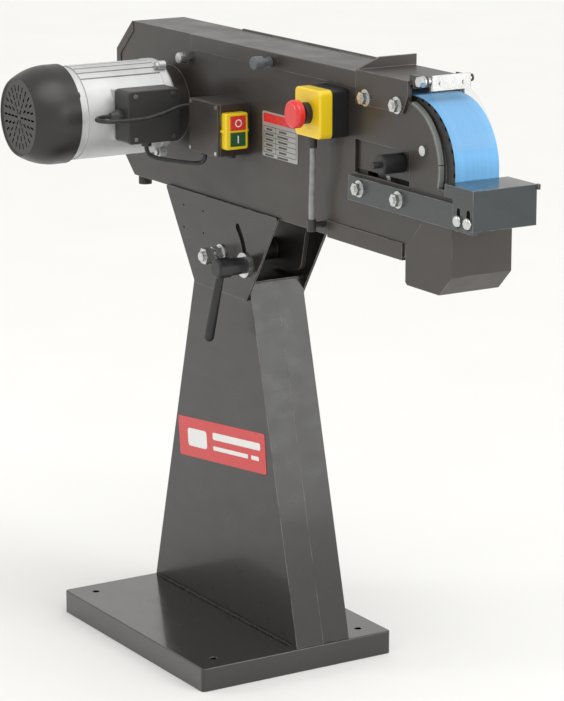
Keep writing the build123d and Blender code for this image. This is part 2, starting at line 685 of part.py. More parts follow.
ROD_Y = 28
ROD_R = 5
CYLINDER_X = (180, 335)
with BuildPart() as tension_cylinder:
    rod_x(ROD_Y, WHEEL_Z, 11, CYLINDER_X)
    for clamp_x in (195, 310):
        slab((clamp_x, clamp_x + 14), (PLATE, ROD_Y + 14), (WHEEL_Z - 14, WHEEL_Z + 14))
    rod_x(ROD_Y, WHEEL_Z, ROD_R + RUN, (CYLINDER_X[0] + 8, CYLINDER_X[1]), Mode.SUBTRACT)
save(tension_cylinder.part, "tension_cylinder")

LUG_X = (372, 382)
AXLE_END = BELT_HIGH_Y + 4
with BuildPart() as tension_slide:
    slab((350, 556), SLIDE_Y, SLIDE_Z)
    slab(LUG_X, (SLIDE_Y[0], ROD_Y + 10), (WHEEL_Z - 12, WHEEL_Z + 12))
    rod_x(ROD_Y, WHEEL_Z, ROD_R, (CYLINDER_X[0] + 30, LUG_X[0]))
    chamfer(tension_slide.edges().filter_by(Axis.Y).group_by(Axis.X)[-1], 6)
    rod_y(WHEEL_X, WHEEL_Z, AXLE_R, (SLIDE_Y[0], AXLE_END))
    rod_y(WHEEL_X, WHEEL_Z, AXLE_R + 4, (SLIDE_Y[1], BELT_LOW_Y + 1))
    extrude(hexagon_y(WHEEL_X, WHEEL_Z, 26, AXLE_END), amount=5)
save(tension_slide.part, "tension_slide")

TENSION_KNOB_X = 499
with BuildPart() as tension_knob:
    rod_y(TENSION_KNOB_X, WHEEL_Z + 1, 14.5, (-34, SLIDE_Y[0]))
    chamfer(tension_knob.faces().sort_by(Axis.Y)[0].edges(), 2)
    rod_y(TENSION_KNOB_X, WHEEL_Z + 1, 5, (-46, -34))
save(tension_knob.part, "tension_knob")

HUB_BOSS_Y = (BELT_LOW_Y + 1.5, BELT_HIGH_Y - 1.5)
BEARING_R = 21
BEARING_WIDTH = 12
TREAD_R = WHEEL_R - TYRE_DEPTH
with BuildPart() as wheel_hub:
    rod_y(WHEEL_X, WHEEL_Z, TREAD_R, (BELT_LOW_Y, BELT_HIGH_Y))
    for pocket in ((BELT_LOW_Y, BELT_Y - 8), (BELT_Y + 8, BELT_HIGH_Y)):
        rod_y(WHEEL_X, WHEEL_Z, TREAD_R - 9, pocket, Mode.SUBTRACT)
    rod_y(WHEEL_X, WHEEL_Z, BEARING_R + 7, HUB_BOSS_Y)
    rod_y(WHEEL_X, WHEEL_Z, BEARING_R, HUB_BOSS_Y, Mode.SUBTRACT)
    rod_y(WHEEL_X, WHEEL_Z, BEARING_R, (BELT_Y - 10, BELT_Y + 10))
    rod_y(WHEEL_X, WHEEL_Z, AXLE_R + 3, (BELT_Y - 10, BELT_Y + 10), Mode.SUBTRACT)
save(wheel_hub.part, "wheel_hub")

NOTCHES = 36
with BuildPart() as wheel_tyre:
    rod_y(WHEEL_X, WHEEL_Z, WHEEL_R, (BELT_LOW_Y, BELT_HIGH_Y))
    rod_y(WHEEL_X, WHEEL_Z, TREAD_R, (BELT_LOW_Y, BELT_HIGH_Y), Mode.SUBTRACT)
    with BuildSketch(Plane.XZ.offset(-BELT_HIGH_Y)):
        with Locations((WHEEL_X, WHEEL_Z)):
            with PolarLocations(WHEEL_R, NOTCHES):
                Rectangle(8, 6)
    extrude(amount=9, mode=Mode.SUBTRACT)
    with BuildSketch(Plane.XZ.offset(-BELT_LOW_Y - 9)):
        with Locations((WHEEL_X, WHEEL_Z)):
            with PolarLocations(WHEEL_R, NOTCHES):
                Rectangle(8, 6)
    extrude(amount=9, mode=Mode.SUBTRACT)
save(wheel_tyre.part, "wheel_tyre")

with BuildPart() as wheel_bearings:
    for bearing_y in ((BELT_Y - 10 - BEARING_WIDTH, BELT_Y - 10), (BELT_Y + 10, BELT_Y + 10 + BEARING_WIDTH)):
        rod_y(WHEEL_X, WHEEL_Z, BEARING_R, bearing_y)
    rod_y(WHEEL_X, WHEEL_Z, AXLE_R + RUN, (BELT_LOW_Y, BELT_HIGH_Y), Mode.SUBTRACT)
save(wheel_bearings.part, "wheel_bearings")

with BuildPart() as drive_pulley:
    rod_y(DRIVE_X, WHEEL_Z, WHEEL_R, (BELT_LOW_Y, BELT_HIGH_Y))
    for pocket in ((BELT_LOW_Y, BELT_Y - 6), (BELT_Y + 6, BELT_HIGH_Y)):
        rod_y(DRIVE_X, WHEEL_Z, WHEEL_R - 9, pocket, Mode.SUBTRACT)
    rod_y(DRIVE_X, WHEEL_Z, SHAFT_R + 14, (BELT_LOW_Y, BELT_HIGH_Y))
    rod_y(DRIVE_X, WHEEL_Z, SHAFT_R, (BELT_LOW_Y, BELT_HIGH_Y), Mode.SUBTRACT)
save(drive_pulley.part, "drive_pulley")

# ---- Motor ----------------------------------------------------------------------------------

GROOVE_DEPTH = 4
GROOVE_WIDTH = 3
GROOVE_PITCH = 11
GROOVES = 6
FRAME_R = MOTOR_R - GROOVE_DEPTH
STATOR_R = FRAME_R - FRAME_WALL
ROTOR_R = 40
STATOR_Y = (MOTOR_BACK + 35, MOTOR_FRONT - 35)
BEARING_SEAT_R = 23.5
SHIELD_BACK_Y = (COWL_RIM - 5, MOTOR_BACK)
EAR_REACH = MOTOR_R + 6
EAR_R = 7
EAR_ANGLE = 60
EARS = 3
SHELL_PAD = 3

with BuildPart() as motor_frame:
    rod_y(DRIVE_X, WHEEL_Z, MOTOR_R, (MOTOR_BACK, MOTOR_FRONT))
    with BuildSketch(Plane.XZ.offset(-MOTOR_FRONT)):
        for first_groove in (52, 232):
            for groove in range(GROOVES):
                with Locations((DRIVE_X, WHEEL_Z)):
                    with PolarLocations(MOTOR_R, 1, start_angle=first_groove + GROOVE_PITCH * groove):
                        Rectangle(2 * GROOVE_DEPTH, GROOVE_WIDTH)
    extrude(amount=MOTOR_FRONT - MOTOR_BACK, mode=Mode.SUBTRACT)
    slab(
        (DRIVE_X + 40, DRIVE_X + MOTOR_R - SHELL_PAD),
        (-145, MOTOR_FRONT),
        (WHEEL_Z - 38, WHEEL_Z + 42),
    )
    slab(
        (DRIVE_X + MOTOR_R - SHELL_PAD, DRIVE_X + MOTOR_R),
        (-145, MOTOR_FRONT),
        (WHEEL_Z - 42, WHEEL_Z + 46),
        Mode.SUBTRACT,
    )
    rod_y(DRIVE_X, WHEEL_Z, STATOR_R, (MOTOR_BACK, MOTOR_FRONT), Mode.SUBTRACT)
save(motor_frame.part, "motor_frame")

with BuildPart() as motor_shields:
    rod_y(DRIVE_X, WHEEL_Z, MOTOR_R + 1, (MOTOR_FRONT, MOTOR_FACE))
    fillet(motor_shields.faces().sort_by(Axis.Y)[-1].edges(), 6)
    with BuildSketch(Plane.XZ.offset(-MOTOR_FRONT)):
        with Locations((DRIVE_X, WHEEL_Z)):
            with PolarLocations(EAR_REACH, EARS, start_angle=EAR_ANGLE):
                Circle(EAR_R)
    extrude(amount=MOTOR_FRONT - MOTOR_FACE + 6)
    rod_y(DRIVE_X, WHEEL_Z, FRAME_R + 2, SHIELD_BACK_Y)
    rod_y(DRIVE_X, WHEEL_Z, BEARING_SEAT_R, (COWL_END, 0), Mode.SUBTRACT)
save(motor_shields.part, "motor_shields")

with BuildPart() as stator_core:
    rod_y(DRIVE_X, WHEEL_Z, STATOR_R, STATOR_Y)
    rod_y(DRIVE_X, WHEEL_Z, STATOR_R - 5, (STATOR_Y[0] - 18, STATOR_Y[1] + 18))
    rod_y(DRIVE_X, WHEEL_Z, ROTOR_R + 0.5, (MOTOR_BACK, MOTOR_FRONT), Mode.SUBTRACT)
save(stator_core.part, "stator_core")

with BuildPart() as motor_bearings:
    rod_y(DRIVE_X, WHEEL_Z, BEARING_SEAT_R, (MOTOR_FRONT, MOTOR_FACE))
    rod_y(DRIVE_X, WHEEL_Z, BEARING_SEAT_R, SHIELD_BACK_Y)
    rod_y(DRIVE_X, WHEEL_Z, SHAFT_R + RUN, (COWL_END, 0), Mode.SUBTRACT)
save(motor_bearings.part, "motor_bearings")

FAN_Y = (COWL_RIM - 38, COWL_RIM - 16)
with BuildPart() as rotor:
    rod_y(DRIVE_X, WHEEL_Z, SHAFT_R, (SHIELD_BACK_Y[0] - 4, BELT_HIGH_Y + 4))
    rod_y(DRIVE_X, WHEEL_Z, 8, (FAN_Y[0] - 5, SHIELD_BACK_Y[0] - 4))
    rod_y(DRIVE_X, WHEEL_Z, ROTOR_R, STATOR_Y)
save(rotor.part, "rotor")

with BuildPart() as motor_fan:
    rod_y(DRIVE_X, WHEEL_Z, 20, FAN_Y)
    rod_y(DRIVE_X, WHEEL_Z, 62, (FAN_Y[1] - 3, FAN_Y[1]))
    with BuildSketch(Plane.XZ.offset(-FAN_Y[1])):
        with Locations((DRIVE_X, WHEEL_Z)):
            with PolarLocations(40, 7):
                Rectangle(42, 2.5)
    extrude(amount=FAN_Y[1] - FAN_Y[0])
    rod_y(DRIVE_X, WHEEL_Z, 8, FAN_Y, Mode.SUBTRACT)
save(motor_fan.part, "motor_fan")

COWL_WALL = 2.5
COWL_FACE_R = 62
COWL_STRAIGHT = 16
COWL_SLOTS = ((10, 6), (22, 12), (34, 18), (46, 24))
with BuildPart() as fan_cowl:
    with BuildSketch(Plane.XY):
        with BuildLine():
            Line((0, COWL_END + 2), (COWL_FACE_R - 4, COWL_END + 2))
            Line((COWL_FACE_R - 4, COWL_END + 2), (COWL_FACE_R - 2, COWL_END))
            Line((COWL_FACE_R - 2, COWL_END), (COWL_FACE_R, COWL_END))
            ThreePointArc(
                (COWL_FACE_R, COWL_END), (COWL_R - 4.5, COWL_END + 26), (COWL_R, COWL_RIM - COWL_STRAIGHT)
            )
            Line((COWL_R, COWL_RIM - COWL_STRAIGHT), (COWL_R, COWL_RIM))
            Line((COWL_R, COWL_RIM), (COWL_R - COWL_WALL, COWL_RIM))
            Line((COWL_R - COWL_WALL, COWL_RIM), (COWL_R - COWL_WALL, COWL_RIM - COWL_STRAIGHT))
            ThreePointArc(
                (COWL_R - COWL_WALL, COWL_RIM - COWL_STRAIGHT),
                (COWL_R - 4.5 - COWL_WALL, COWL_END + 26),
                (COWL_FACE_R - 1, COWL_END + 5),
            )
            Line((COWL_FACE_R - 1, COWL_END + 5), (0, COWL_END + 5))
            Line((0, COWL_END + 5), (0, COWL_END + 2))
        make_face()
    revolve(axis=Axis.Y)
    with BuildSketch(Plane.XZ.offset(-COWL_END)):
        for ring_r, ring_slots in COWL_SLOTS:
            with PolarLocations(ring_r, ring_slots):
                SlotOverall(10, 3.2)
    extrude(amount=-10, mode=Mode.SUBTRACT)
    for screw_angle in (30, 150, 270):
        turn = math.radians(screw_angle)
        with Locations(
            Location((73 * math.cos(turn), COWL_RIM - 3, 73 * math.sin(turn)), (90, 0, 0))
        ):
            Cylinder(6, 10)
    rod_y(0, 0, FRAME_R + 2, (COWL_RIM - 5, COWL_RIM + 10), Mode.SUBTRACT)
fan_cowl_placed = Pos(DRIVE_X, 0, WHEEL_Z) * fan_cowl.part
save(fan_cowl_placed, "fan_cowl")

# ---- Electrical boxes ------------------------------------------------------------------------

TERMINAL_BACK = DRIVE_X + MOTOR_R - 3
TERMINAL_FRONT = TERMINAL_BACK + 35
TERMINAL_COVER = 8
TERMINAL_LOW_Y = -143
TERMINAL_LOW_Z = WHEEL_Z + 2 - TERMINAL_Z / 2
TERMINAL_SPAN_Y = (TERMINAL_LOW_Y, TERMINAL_LOW_Y + TERMINAL_Y)
TERMINAL_SPAN_Z = (TERMINAL_LOW_Z, TERMINAL_LOW_Z + TERMINAL_Z)
with BuildPart() as terminal_box:
    slab((TERMINAL_BACK, TERMINAL_FRONT), TERMINAL_SPAN_Y, TERMINAL_SPAN_Z)
    fillet(terminal_box.edges().filter_by(Axis.X), 7)
    slab(
        (TERMINAL_BACK + 3, TERMINAL_FRONT),
        (TERMINAL_SPAN_Y[0] + 3, TERMINAL_SPAN_Y[1] - 3),
        (TERMINAL_SPAN_Z[0] + 3, TERMINAL_SPAN_Z[1] - 3),
        Mode.SUBTRACT,
    )
save(terminal_box.part, "terminal_box")

with BuildPart() as terminal_cover:
    slab((TERMINAL_FRONT, TERMINAL_FRONT + TERMINAL_COVER), TERMINAL_SPAN_Y, TERMINAL_SPAN_Z)
    fillet(terminal_cover.edges().filter_by(Axis.X), 7)
    fillet(terminal_cover.faces().sort_by(Axis.X)[-1].edges(), 2)
save(terminal_cover.part, "terminal_cover")

BOX_LOW_X = -5
BOX_LOW_Z = 808
BOX_SPAN_X = (BOX_LOW_X, BOX_LOW_X + SWITCH_BOX_X)
BOX_SPAN_Z = (BOX_LOW_Z, BOX_LOW_Z + SWITCH_BOX_Z)
BOX_COVER = 5
with BuildPart() as switch_box:
    slab(BOX_SPAN_X, (-SWITCH_BOX_DEPTH, 0), BOX_SPAN_Z)
    fillet(switch_box.edges().filter_by(Axis.Y), 2)
    slab(
        (BOX_SPAN_X[0] + 3, BOX_SPAN_X[1] - 3),
        (-SWITCH_BOX_DEPTH, -3),
        (BOX_SPAN_Z[0] + 3, BOX_SPAN_Z[1] - 3),
        Mode.SUBTRACT,
    )
save(switch_box.part, "switch_box")

with BuildPart() as switch_cover:
    slab(BOX_SPAN_X, (-SWITCH_BOX_DEPTH - BOX_COVER, -SWITCH_BOX_DEPTH), BOX_SPAN_Z)
    fillet(switch_cover.edges().filter_by(Axis.Y), 2)
    fillet(switch_cover.faces().sort_by(Axis.Y)[0].edges(), 1)
save(switch_cover.part, "switch_cover")

SCREW_INSET = 5
with BuildPart() as cover_screws:
    for screw_x in (BOX_SPAN_X[0] + SCREW_INSET, BOX_SPAN_X[1] - SCREW_INSET):
        for screw_z in (BOX_SPAN_Z[0] + SCREW_INSET, BOX_SPAN_Z[1] - SCREW_INSET):
            screw_face = -SWITCH_BOX_DEPTH - BOX_COVER
            rod_y(screw_x, screw_z, 3, (screw_face - 1.5, screw_face))
    for screw_y in (TERMINAL_SPAN_Y[0] + 13, TERMINAL_SPAN_Y[1] - 13):
        for screw_z in (TERMINAL_SPAN_Z[0] + 8, TERMINAL_SPAN_Z[1] - 8):
            screw_face = TERMINAL_FRONT + TERMINAL_COVER
            rod_x(screw_y, screw_z, 3.5, (screw_face, screw_face + 1.5))
    with BuildSketch(Plane.XZ.offset(-MOTOR_FRONT)) as nut_faces:
        with Locations((DRIVE_X, WHEEL_Z)):
            with PolarLocations(EAR_REACH, EARS, start_angle=EAR_ANGLE):
                RegularPolygon(5.5, 6)
    extrude(nut_faces.sketch, amount=5)
save(cover_screws.part, "cover_screws")

GLAND_X = TERMINAL_BACK + 19
GLAND_Z = WHEEL_Z + 4
TERMINAL_DROP_Y = -98
BOX_INLET_Y = -30
BOX_INLET_Z = 873
BOX_DROP = (8, -36)
ESTOP_DROP = (306, -24)
ESTOP_FOOT = (295, -19)
ESTOP_SPAN_X = (297, 297 + ESTOP_X)
ESTOP_SPAN_Z = (875, 875 + ESTOP_Z)
ESTOP_BASE = 29
ESTOP_COVER = 21.5
with BuildPart() as cable_glands:
    gland_face = TERMINAL_SPAN_Y[0]
    with BuildSketch(Plane.XZ.offset(-gland_face)):
        with Locations((GLAND_X, GLAND_Z)):
            RegularPolygon(11, 6)
    extrude(amount=8)
    with BuildSketch(Plane.XZ.offset(8 - gland_face)):
        with Locations((GLAND_X, GLAND_Z)):
            Circle(9.5)
    extrude(amount=12, taper=18)
    rod_x(BOX_INLET_Y, BOX_INLET_Z, 7, (BOX_LOW_X - 6, BOX_LOW_X))
    rod_z(GLAND_X, TERMINAL_DROP_Y, 8, (TERMINAL_SPAN_Z[0] - 8, TERMINAL_SPAN_Z[0]))
    rod_z(BOX_DROP[0], BOX_DROP[1], 8, (BOX_LOW_Z - 7, BOX_LOW_Z))
    rod_z(ESTOP_DROP[0], ESTOP_DROP[1], 9, (ESTOP_SPAN_Z[0] - 9, ESTOP_SPAN_Z[0]))
    rod_z(ESTOP_DROP[0], ESTOP_DROP[1], 6.5, (ESTOP_SPAN_Z[0] - 22, ESTOP_SPAN_Z[0] - 9))
    rod_z(ESTOP_FOOT[0], ESTOP_FOOT[1], 7, (724, 742))
    rod_y(ESTOP_FOOT[0], 733, 5, (ESTOP_FOOT[1], 0))
    rod_z(BOX_SPAN_X[1] - 30, -16, 8, (BOX_LOW_Z - 8, BOX_LOW_Z))
save(cable_glands.part, "cable_glands")


def cable(route, radius, name):
    """Sweep one cable along a route of straight runs and tangent arcs, and print its measures."""
    points = [Vector(*point) for point in route]
    radii = []
    for before, corner, after in zip(points, points[1:], points[2:]):
        turn = (corner - before).get_angle(after - corner)
        shorter = min((corner - before).length, (after - corner).length)
        radii.append(0.45 * shorter / math.tan(math.radians(turn / 2)))
    with BuildPart() as tube:
        with BuildLine() as path:
            FilletPolyline(*points, radius=radii)
        with BuildSketch(Plane(origin=points[0], z_dir=points[1] - points[0])):
            Circle(radius)
        sweep(path=path.wires()[0])
    length = path.wires()[0].length
    share = tube.part.volume / (math.pi * radius**2 * length)
    print(name, "length", round(length, 1), "radii", [round(r, 1) for r in radii], "volume", round(share, 4))
    save(tube.part, name)


MOTOR_CABLE_ROUTE = [
    (GLAND_X, TERMINAL_SPAN_Y[0] - 20, GLAND_Z),
    (GLAND_X, -180, 860),
    (-57, -195, 859.5),
    (-41, -195, 859),
    (-30, -180, 858.5),
    (-29, -152, 858),
    (-27, -118, 859),
    (-28, -88, 865),
    (-31, -66, 871),
    (-33, -48, 873),
    (-31, -37, 873.1),
    (-23, BOX_INLET_Y, BOX_INLET_Z),
    (BOX_LOW_X - 6, BOX_INLET_Y, BOX_INLET_Z),
]
cable(MOTOR_CABLE_ROUTE, CABLE_R, "motor_cable")

CONTROL_CABLE_ROUTE = [
    (BOX_DROP[0], BOX_DROP[1], BOX_LOW_Z - 7),
    (BOX_DROP[0], BOX_DROP[1], 789),
    (-8, -43, 783),
    (-31, -57, 784),
    (-51, -75, 786),
    (-65, -91, 790),
    (GLAND_X, TERMINAL_DROP_Y, 798),
    (GLAND_X, TERMINAL_DROP_Y, TERMINAL_SPAN_Z[0] - 8),
]
cable(CONTROL_CABLE_ROUTE, CABLE_R, "control_cable")

STOP_CABLE_ROUTE = [
    (ESTOP_DROP[0], ESTOP_DROP[1], ESTOP_SPAN_Z[0] - 22),
    (ESTOP_DROP[0], ESTOP_DROP[1], 815),
    (ESTOP_FOOT[0], ESTOP_FOOT[1], 780),
    (ESTOP_FOOT[0], ESTOP_FOOT[1], 742),
]
cable(STOP_CABLE_ROUTE, CABLE_R + 1, "stop_cable")

FRAME_FACE_X = BOX_SPAN_X[1]
SWITCH_FRAME_Y = (-50, -10)
SWITCH_FRAME_Z = (820, 877)
SWITCH_PROUD = 14
BUTTON_Y = (-42, -15)
BUTTON_SPANS = {"stop_button": (850.5, 872), "start_button": (825, 846.5)}
BUTTON_TRAVEL = 3
with BuildPart() as switch_frame:
    slab((FRAME_FACE_X, FRAME_FACE_X + SWITCH_PROUD), SWITCH_FRAME_Y, SWITCH_FRAME_Z)
    fillet(switch_frame.edges().filter_by(Axis.X), 4)
    fillet(switch_frame.faces().sort_by(Axis.X)[-1].edges(), 2.5)
    for nub_y in SWITCH_FRAME_Y:
        rod_x(nub_y, 848.5, 2.5, (FRAME_FACE_X, FRAME_FACE_X + SWITCH_PROUD - 3))
    for button_z in BUTTON_SPANS.values():
        slab(
            (FRAME_FACE_X + 3, FRAME_FACE_X + SWITCH_PROUD),
            (BUTTON_Y[0] - FACE_GAP, BUTTON_Y[1] + FACE_GAP),
            (button_z[0] - FACE_GAP, button_z[1] + FACE_GAP),
            Mode.SUBTRACT,
        )
save(switch_frame.part, "switch_frame")

for button_name, button_z in BUTTON_SPANS.items():
    proud = 1.5 if button_name == "stop_button" else 0.5
    with BuildPart() as push_button:
        slab(
            (FRAME_FACE_X + 3.5 + BUTTON_TRAVEL, FRAME_FACE_X + SWITCH_PROUD + proud),
            BUTTON_Y,
            button_z,
        )
        fillet(push_button.faces().sort_by(Axis.X)[-1].edges(), 1)
    save(push_button.part, button_name)

with BuildPart() as nameplate:
    with BuildSketch(Plane.XZ):
        with Locations((175, 848)):
            RectangleRounded(102, 70, 3)
    extrude(amount=0.7)
save(nameplate.part, "nameplate")

ESTOP_CENTRE = (332, 911)
ESTOP_FACE = -ESTOP_BASE - ESTOP_COVER
STEM_R = 8
with BuildPart() as estop_cover:
    slab(ESTOP_SPAN_X, (ESTOP_FACE, -ESTOP_BASE), ESTOP_SPAN_Z)
    fillet(estop_cover.edges().filter_by(Axis.Y), 8)
    fillet(estop_cover.faces().sort_by(Axis.Y)[0].edges(), 3)
    rod_y(ESTOP_CENTRE[0], ESTOP_CENTRE[1], 12, (ESTOP_FACE, -ESTOP_BASE), Mode.SUBTRACT)
save(estop_cover.part, "estop_cover")

COLLAR_FRONT = ESTOP_FACE - 10
with BuildPart() as estop_base:
    slab(ESTOP_SPAN_X, (-ESTOP_BASE, 0), ESTOP_SPAN_Z)
    fillet(estop_base.edges().filter_by(Axis.Y), 6)
    rod_y(ESTOP_CENTRE[0], ESTOP_CENTRE[1], 16, (COLLAR_FRONT, ESTOP_FACE))
    chamfer(estop_base.faces().sort_by(Axis.Y)[0].edges(), 1.5)
    rod_y(ESTOP_CENTRE[0], ESTOP_CENTRE[1], 12, (ESTOP_FACE, -ESTOP_BASE))
    stem_bore = (COLLAR_FRONT - 1, -ESTOP_BASE)
    rod_y(ESTOP_CENTRE[0], ESTOP_CENTRE[1], STEM_R + 2 * RUN, stem_bore, Mode.SUBTRACT)
save(estop_base.part, "estop_base")

ESTOP_TRAVEL = 5
CAP_BACK = COLLAR_FRONT - ESTOP_TRAVEL - 1
with BuildPart() as estop_button:
    rod_y(ESTOP_CENTRE[0], ESTOP_CENTRE[1], STEM_R, (CAP_BACK, -ESTOP_BASE - ESTOP_TRAVEL - 1))
    rod_y(ESTOP_CENTRE[0], ESTOP_CENTRE[1], 21, (CAP_BACK - 13, CAP_BACK))
    fillet(estop_button.faces().sort_by(Axis.Y)[0].edges(), 6)
    fillet(estop_button.faces().filter_by(Axis.Y).sort_by(Axis.Y)[1].edges().sort_by(Axis.X)[-1], 1.5)
save(estop_button.part, "estop_button")

# ---- Work rest, dust box and eye shield ------------------------------------------------------

SCREW_X = (666, 690)
SCREW_Z = 801
REST_SHEET = 4
FLANGE_Y = (-ARM_THICK - 0.1 - REST_SHEET, -ARM_THICK - 0.1)
ARM_END = REST_X[1] - REST_SHEET - 2
with BuildPart() as rest_arm:
    slab((378, ARM_END), (-ARM_THICK, 0), ARM_Z)
    for screw_x in SCREW_X:
        rod_y(screw_x, SCREW_Z, 4, (-ARM_THICK, 0), Mode.SUBTRACT)
save(rest_arm.part, "rest_arm")

REST_LOW = 790
with BuildPart() as rest_table:
    slab(REST_X, (FLANGE_Y[0], REST_Y[1]), (REST_TOP - REST_SHEET, REST_TOP))
    slab((REST_X[1] - REST_SHEET, REST_X[1]), (FLANGE_Y[0], REST_Y[1]), (REST_LOW, REST_TOP))
    slab((REST_X[1] - 3, REST_X[1] + 3), (REST_Y[1], REST_Y[1] + 4), (REST_TOP - 8, REST_TOP))
    slab((REST_X[0], REST_X[1]), FLANGE_Y, (REST_TOP - 18, REST_TOP))
    slab((652, REST_X[1]), FLANGE_Y, (REST_LOW, REST_TOP))
    with BuildSketch(Plane.XZ.offset(-FLANGE_Y[1])) as slots:
        for screw_x in SCREW_X:
            with Locations((screw_x, SCREW_Z + 3)):
                SlotOverall(2 * REST_TRAVEL + 16, 9, rotation=90)
    extrude(slots.sketch, amount=REST_SHEET, mode=Mode.SUBTRACT)
save(rest_table.part, "rest_table")

DUST_LEFT = 523
DUST_RIGHT = 638.5
DUST_BOTTOM = 683
DUST_TOP = 784
DUST_FRONT = -3
DUST_BACK = 101
DUST_SHEET = 2
DUST_CUT = 30
dust_outline = [
    (DUST_LEFT + 4, DUST_BOTTOM),
    (DUST_RIGHT - DUST_CUT, DUST_BOTTOM),
    (DUST_RIGHT, DUST_BOTTOM + DUST_CUT),
    (DUST_RIGHT, DUST_TOP),
    (TONGUE_START - 4, DUST_TOP),
    (DUST_LEFT, HEAD_BOTTOM + 18),
    (DUST_LEFT, DUST_BOTTOM + 4),
]
with BuildPart() as dust_box:
    extrude(side(dust_outline, DUST_BACK), amount=DUST_BACK - DUST_FRONT)
    dust_inside = [
        (DUST_LEFT + DUST_SHEET, DUST_BOTTOM + DUST_SHEET),
        (DUST_RIGHT - DUST_CUT - 1, DUST_BOTTOM + DUST_SHEET),
        (DUST_RIGHT - DUST_SHEET, DUST_BOTTOM + DUST_CUT + 1),
        (DUST_RIGHT - DUST_SHEET, DUST_TOP + 1),
        (DUST_LEFT - 20, DUST_TOP + 1),
        (DUST_LEFT - 20, HEAD_BOTTOM + 9),
        (DUST_LEFT + DUST_SHEET, HEAD_BOTTOM + 9),
    ]
    extrude(
        side(dust_inside, DUST_BACK - DUST_SHEET),
        amount=DUST_BACK - DUST_SHEET,
        mode=Mode.SUBTRACT,
    )
    slab((DUST_RIGHT - 5, DUST_RIGHT), (0, PLATE), (TONGUE_BOTTOM, DUST_TOP), Mode.SUBTRACT)
save(dust_box.part, "dust_box")

BARREL_Y = (4 + FACE_GAP, EAR_BACK[0] - FACE_GAP)
BARREL_R = 4.5
CLAMP_Y = (10, SHIELD_BACK - 1)
CLAMP_Z = (SHIELD_AXIS[1] - 14, SHIELD_AXIS[1] + 8)
with BuildPart() as shield_clamp:
    rod_y(SHIELD_AXIS[0], SHIELD_AXIS[1], BARREL_R, BARREL_Y)
    slab((SHIELD_AXIS[0] + 3.3, SHIELD_AXIS[0] + 6), CLAMP_Y, CLAMP_Z)
    fillet(shield_clamp.faces().sort_by(Axis.X)[-1].edges().filter_by(Axis.Z), 2)
    for rivet_y in (26, 66):
        rod_x(rivet_y, SHIELD_AXIS[1] - 4, 3.5, (SHIELD_AXIS[0] + 6, SHIELD_AXIS[0] + 8))
    rod_y(SHIELD_AXIS[0], SHIELD_AXIS[1], 3 + RUN, BARREL_Y, Mode.SUBTRACT)
save(shield_clamp.part, "shield_clamp")

SHEET_Y = (8, SHIELD_BACK)
SHEET_TOP = (SHIELD_AXIS[0] + 3.3 - SHIELD_SHEET, SHIELD_AXIS[1] - 5.5)
SHEET_BEND = (SHIELD_AXIS[0] + 3.3 - SHIELD_SHEET, SHIELD_AXIS[1] - 15.5)
SHEET_MIDDLE = (597, 941)
SHEET_END = (624, 890)
with BuildPart() as eye_shield:
    with BuildSketch(Plane.XZ.offset(-SHEET_Y[1])) as sheet_face:
        with BuildLine():
            Line(SHEET_TOP, SHEET_BEND)
            ThreePointArc(SHEET_BEND, SHEET_MIDDLE, SHEET_END)
            Line(SHEET_END, (SHEET_END[0] + SHIELD_SHEET, SHEET_END[1] + 0.5))
            ThreePointArc(
                (SHEET_END[0] + SHIELD_SHEET, SHEET_END[1] + 0.5),
                (SHEET_MIDDLE[0] + 1.5, SHEET_MIDDLE[1] + 1.5),
                (SHEET_BEND[0] + SHIELD_SHEET, SHEET_BEND[1] + 0.8),
            )
            Line(
                (SHEET_BEND[0] + SHIELD_SHEET, SHEET_BEND[1] + 0.8),
                (SHEET_TOP[0] + SHIELD_SHEET, SHEET_TOP[1]),
            )
            Line((SHEET_TOP[0] + SHIELD_SHEET, SHEET_TOP[1]), SHEET_TOP)
        make_face()
    extrude(sheet_face.sketch, amount=SHEET_Y[1] - SHEET_Y[0])
save(eye_shield.part, "eye_shield")

with BuildPart() as zinc_bolts:
    for screw_x in SCREW_X:
        rod_y(screw_x, SCREW_Z, 8.5, (FLANGE_Y[0] - 5.1, FLANGE_Y[0] - 0.1))
    fillet(zinc_bolts.faces().filter_by(Axis.Y).sort_by(Axis.Y)[0:2].edges(), 3)
    for screw_x in SCREW_X:
        rod_y(screw_x, SCREW_Z, 4, (FLANGE_Y[0] - 1, 0))
    for bolt_x, bolt_z in GUARD_BOLTS:
        flanged_bolt(bolt_x, bolt_z, -GUARD_SIDE)
    for bolt_x, bolt_z in ARM_BOLTS:
        flanged_bolt(bolt_x, bolt_z, -ARM_THICK)
    rod_y(RIVET[0], RIVET[1], 7.5, (-4, 0))
    rod_y(STUD_X, STUD_Z, STUD_R, (HUB_BACK - 34, CHEEK))
    rod_y(STUD_X, STUD_Z, 20, (HUB_BACK, WASHER_BACK))
    rod_y(SHIELD_AXIS[0], SHIELD_AXIS[1], 3, (-8, EAR_BACK[1] + 1))
    rod_y(SHIELD_AXIS[0], SHIELD_AXIS[1], 8, (-2, 0))
    extrude(hexagon_y(SHIELD_AXIS[0], SHIELD_AXIS[1], 13, -2), amount=8)
save(zinc_bolts.part, "zinc_bolts")
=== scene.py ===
import logging
import math
import random
from dataclasses import dataclass, field
from enum import Enum
from typing import Iterable, Sequence

import bmesh
import bpy
from mathutils import Matrix, Vector


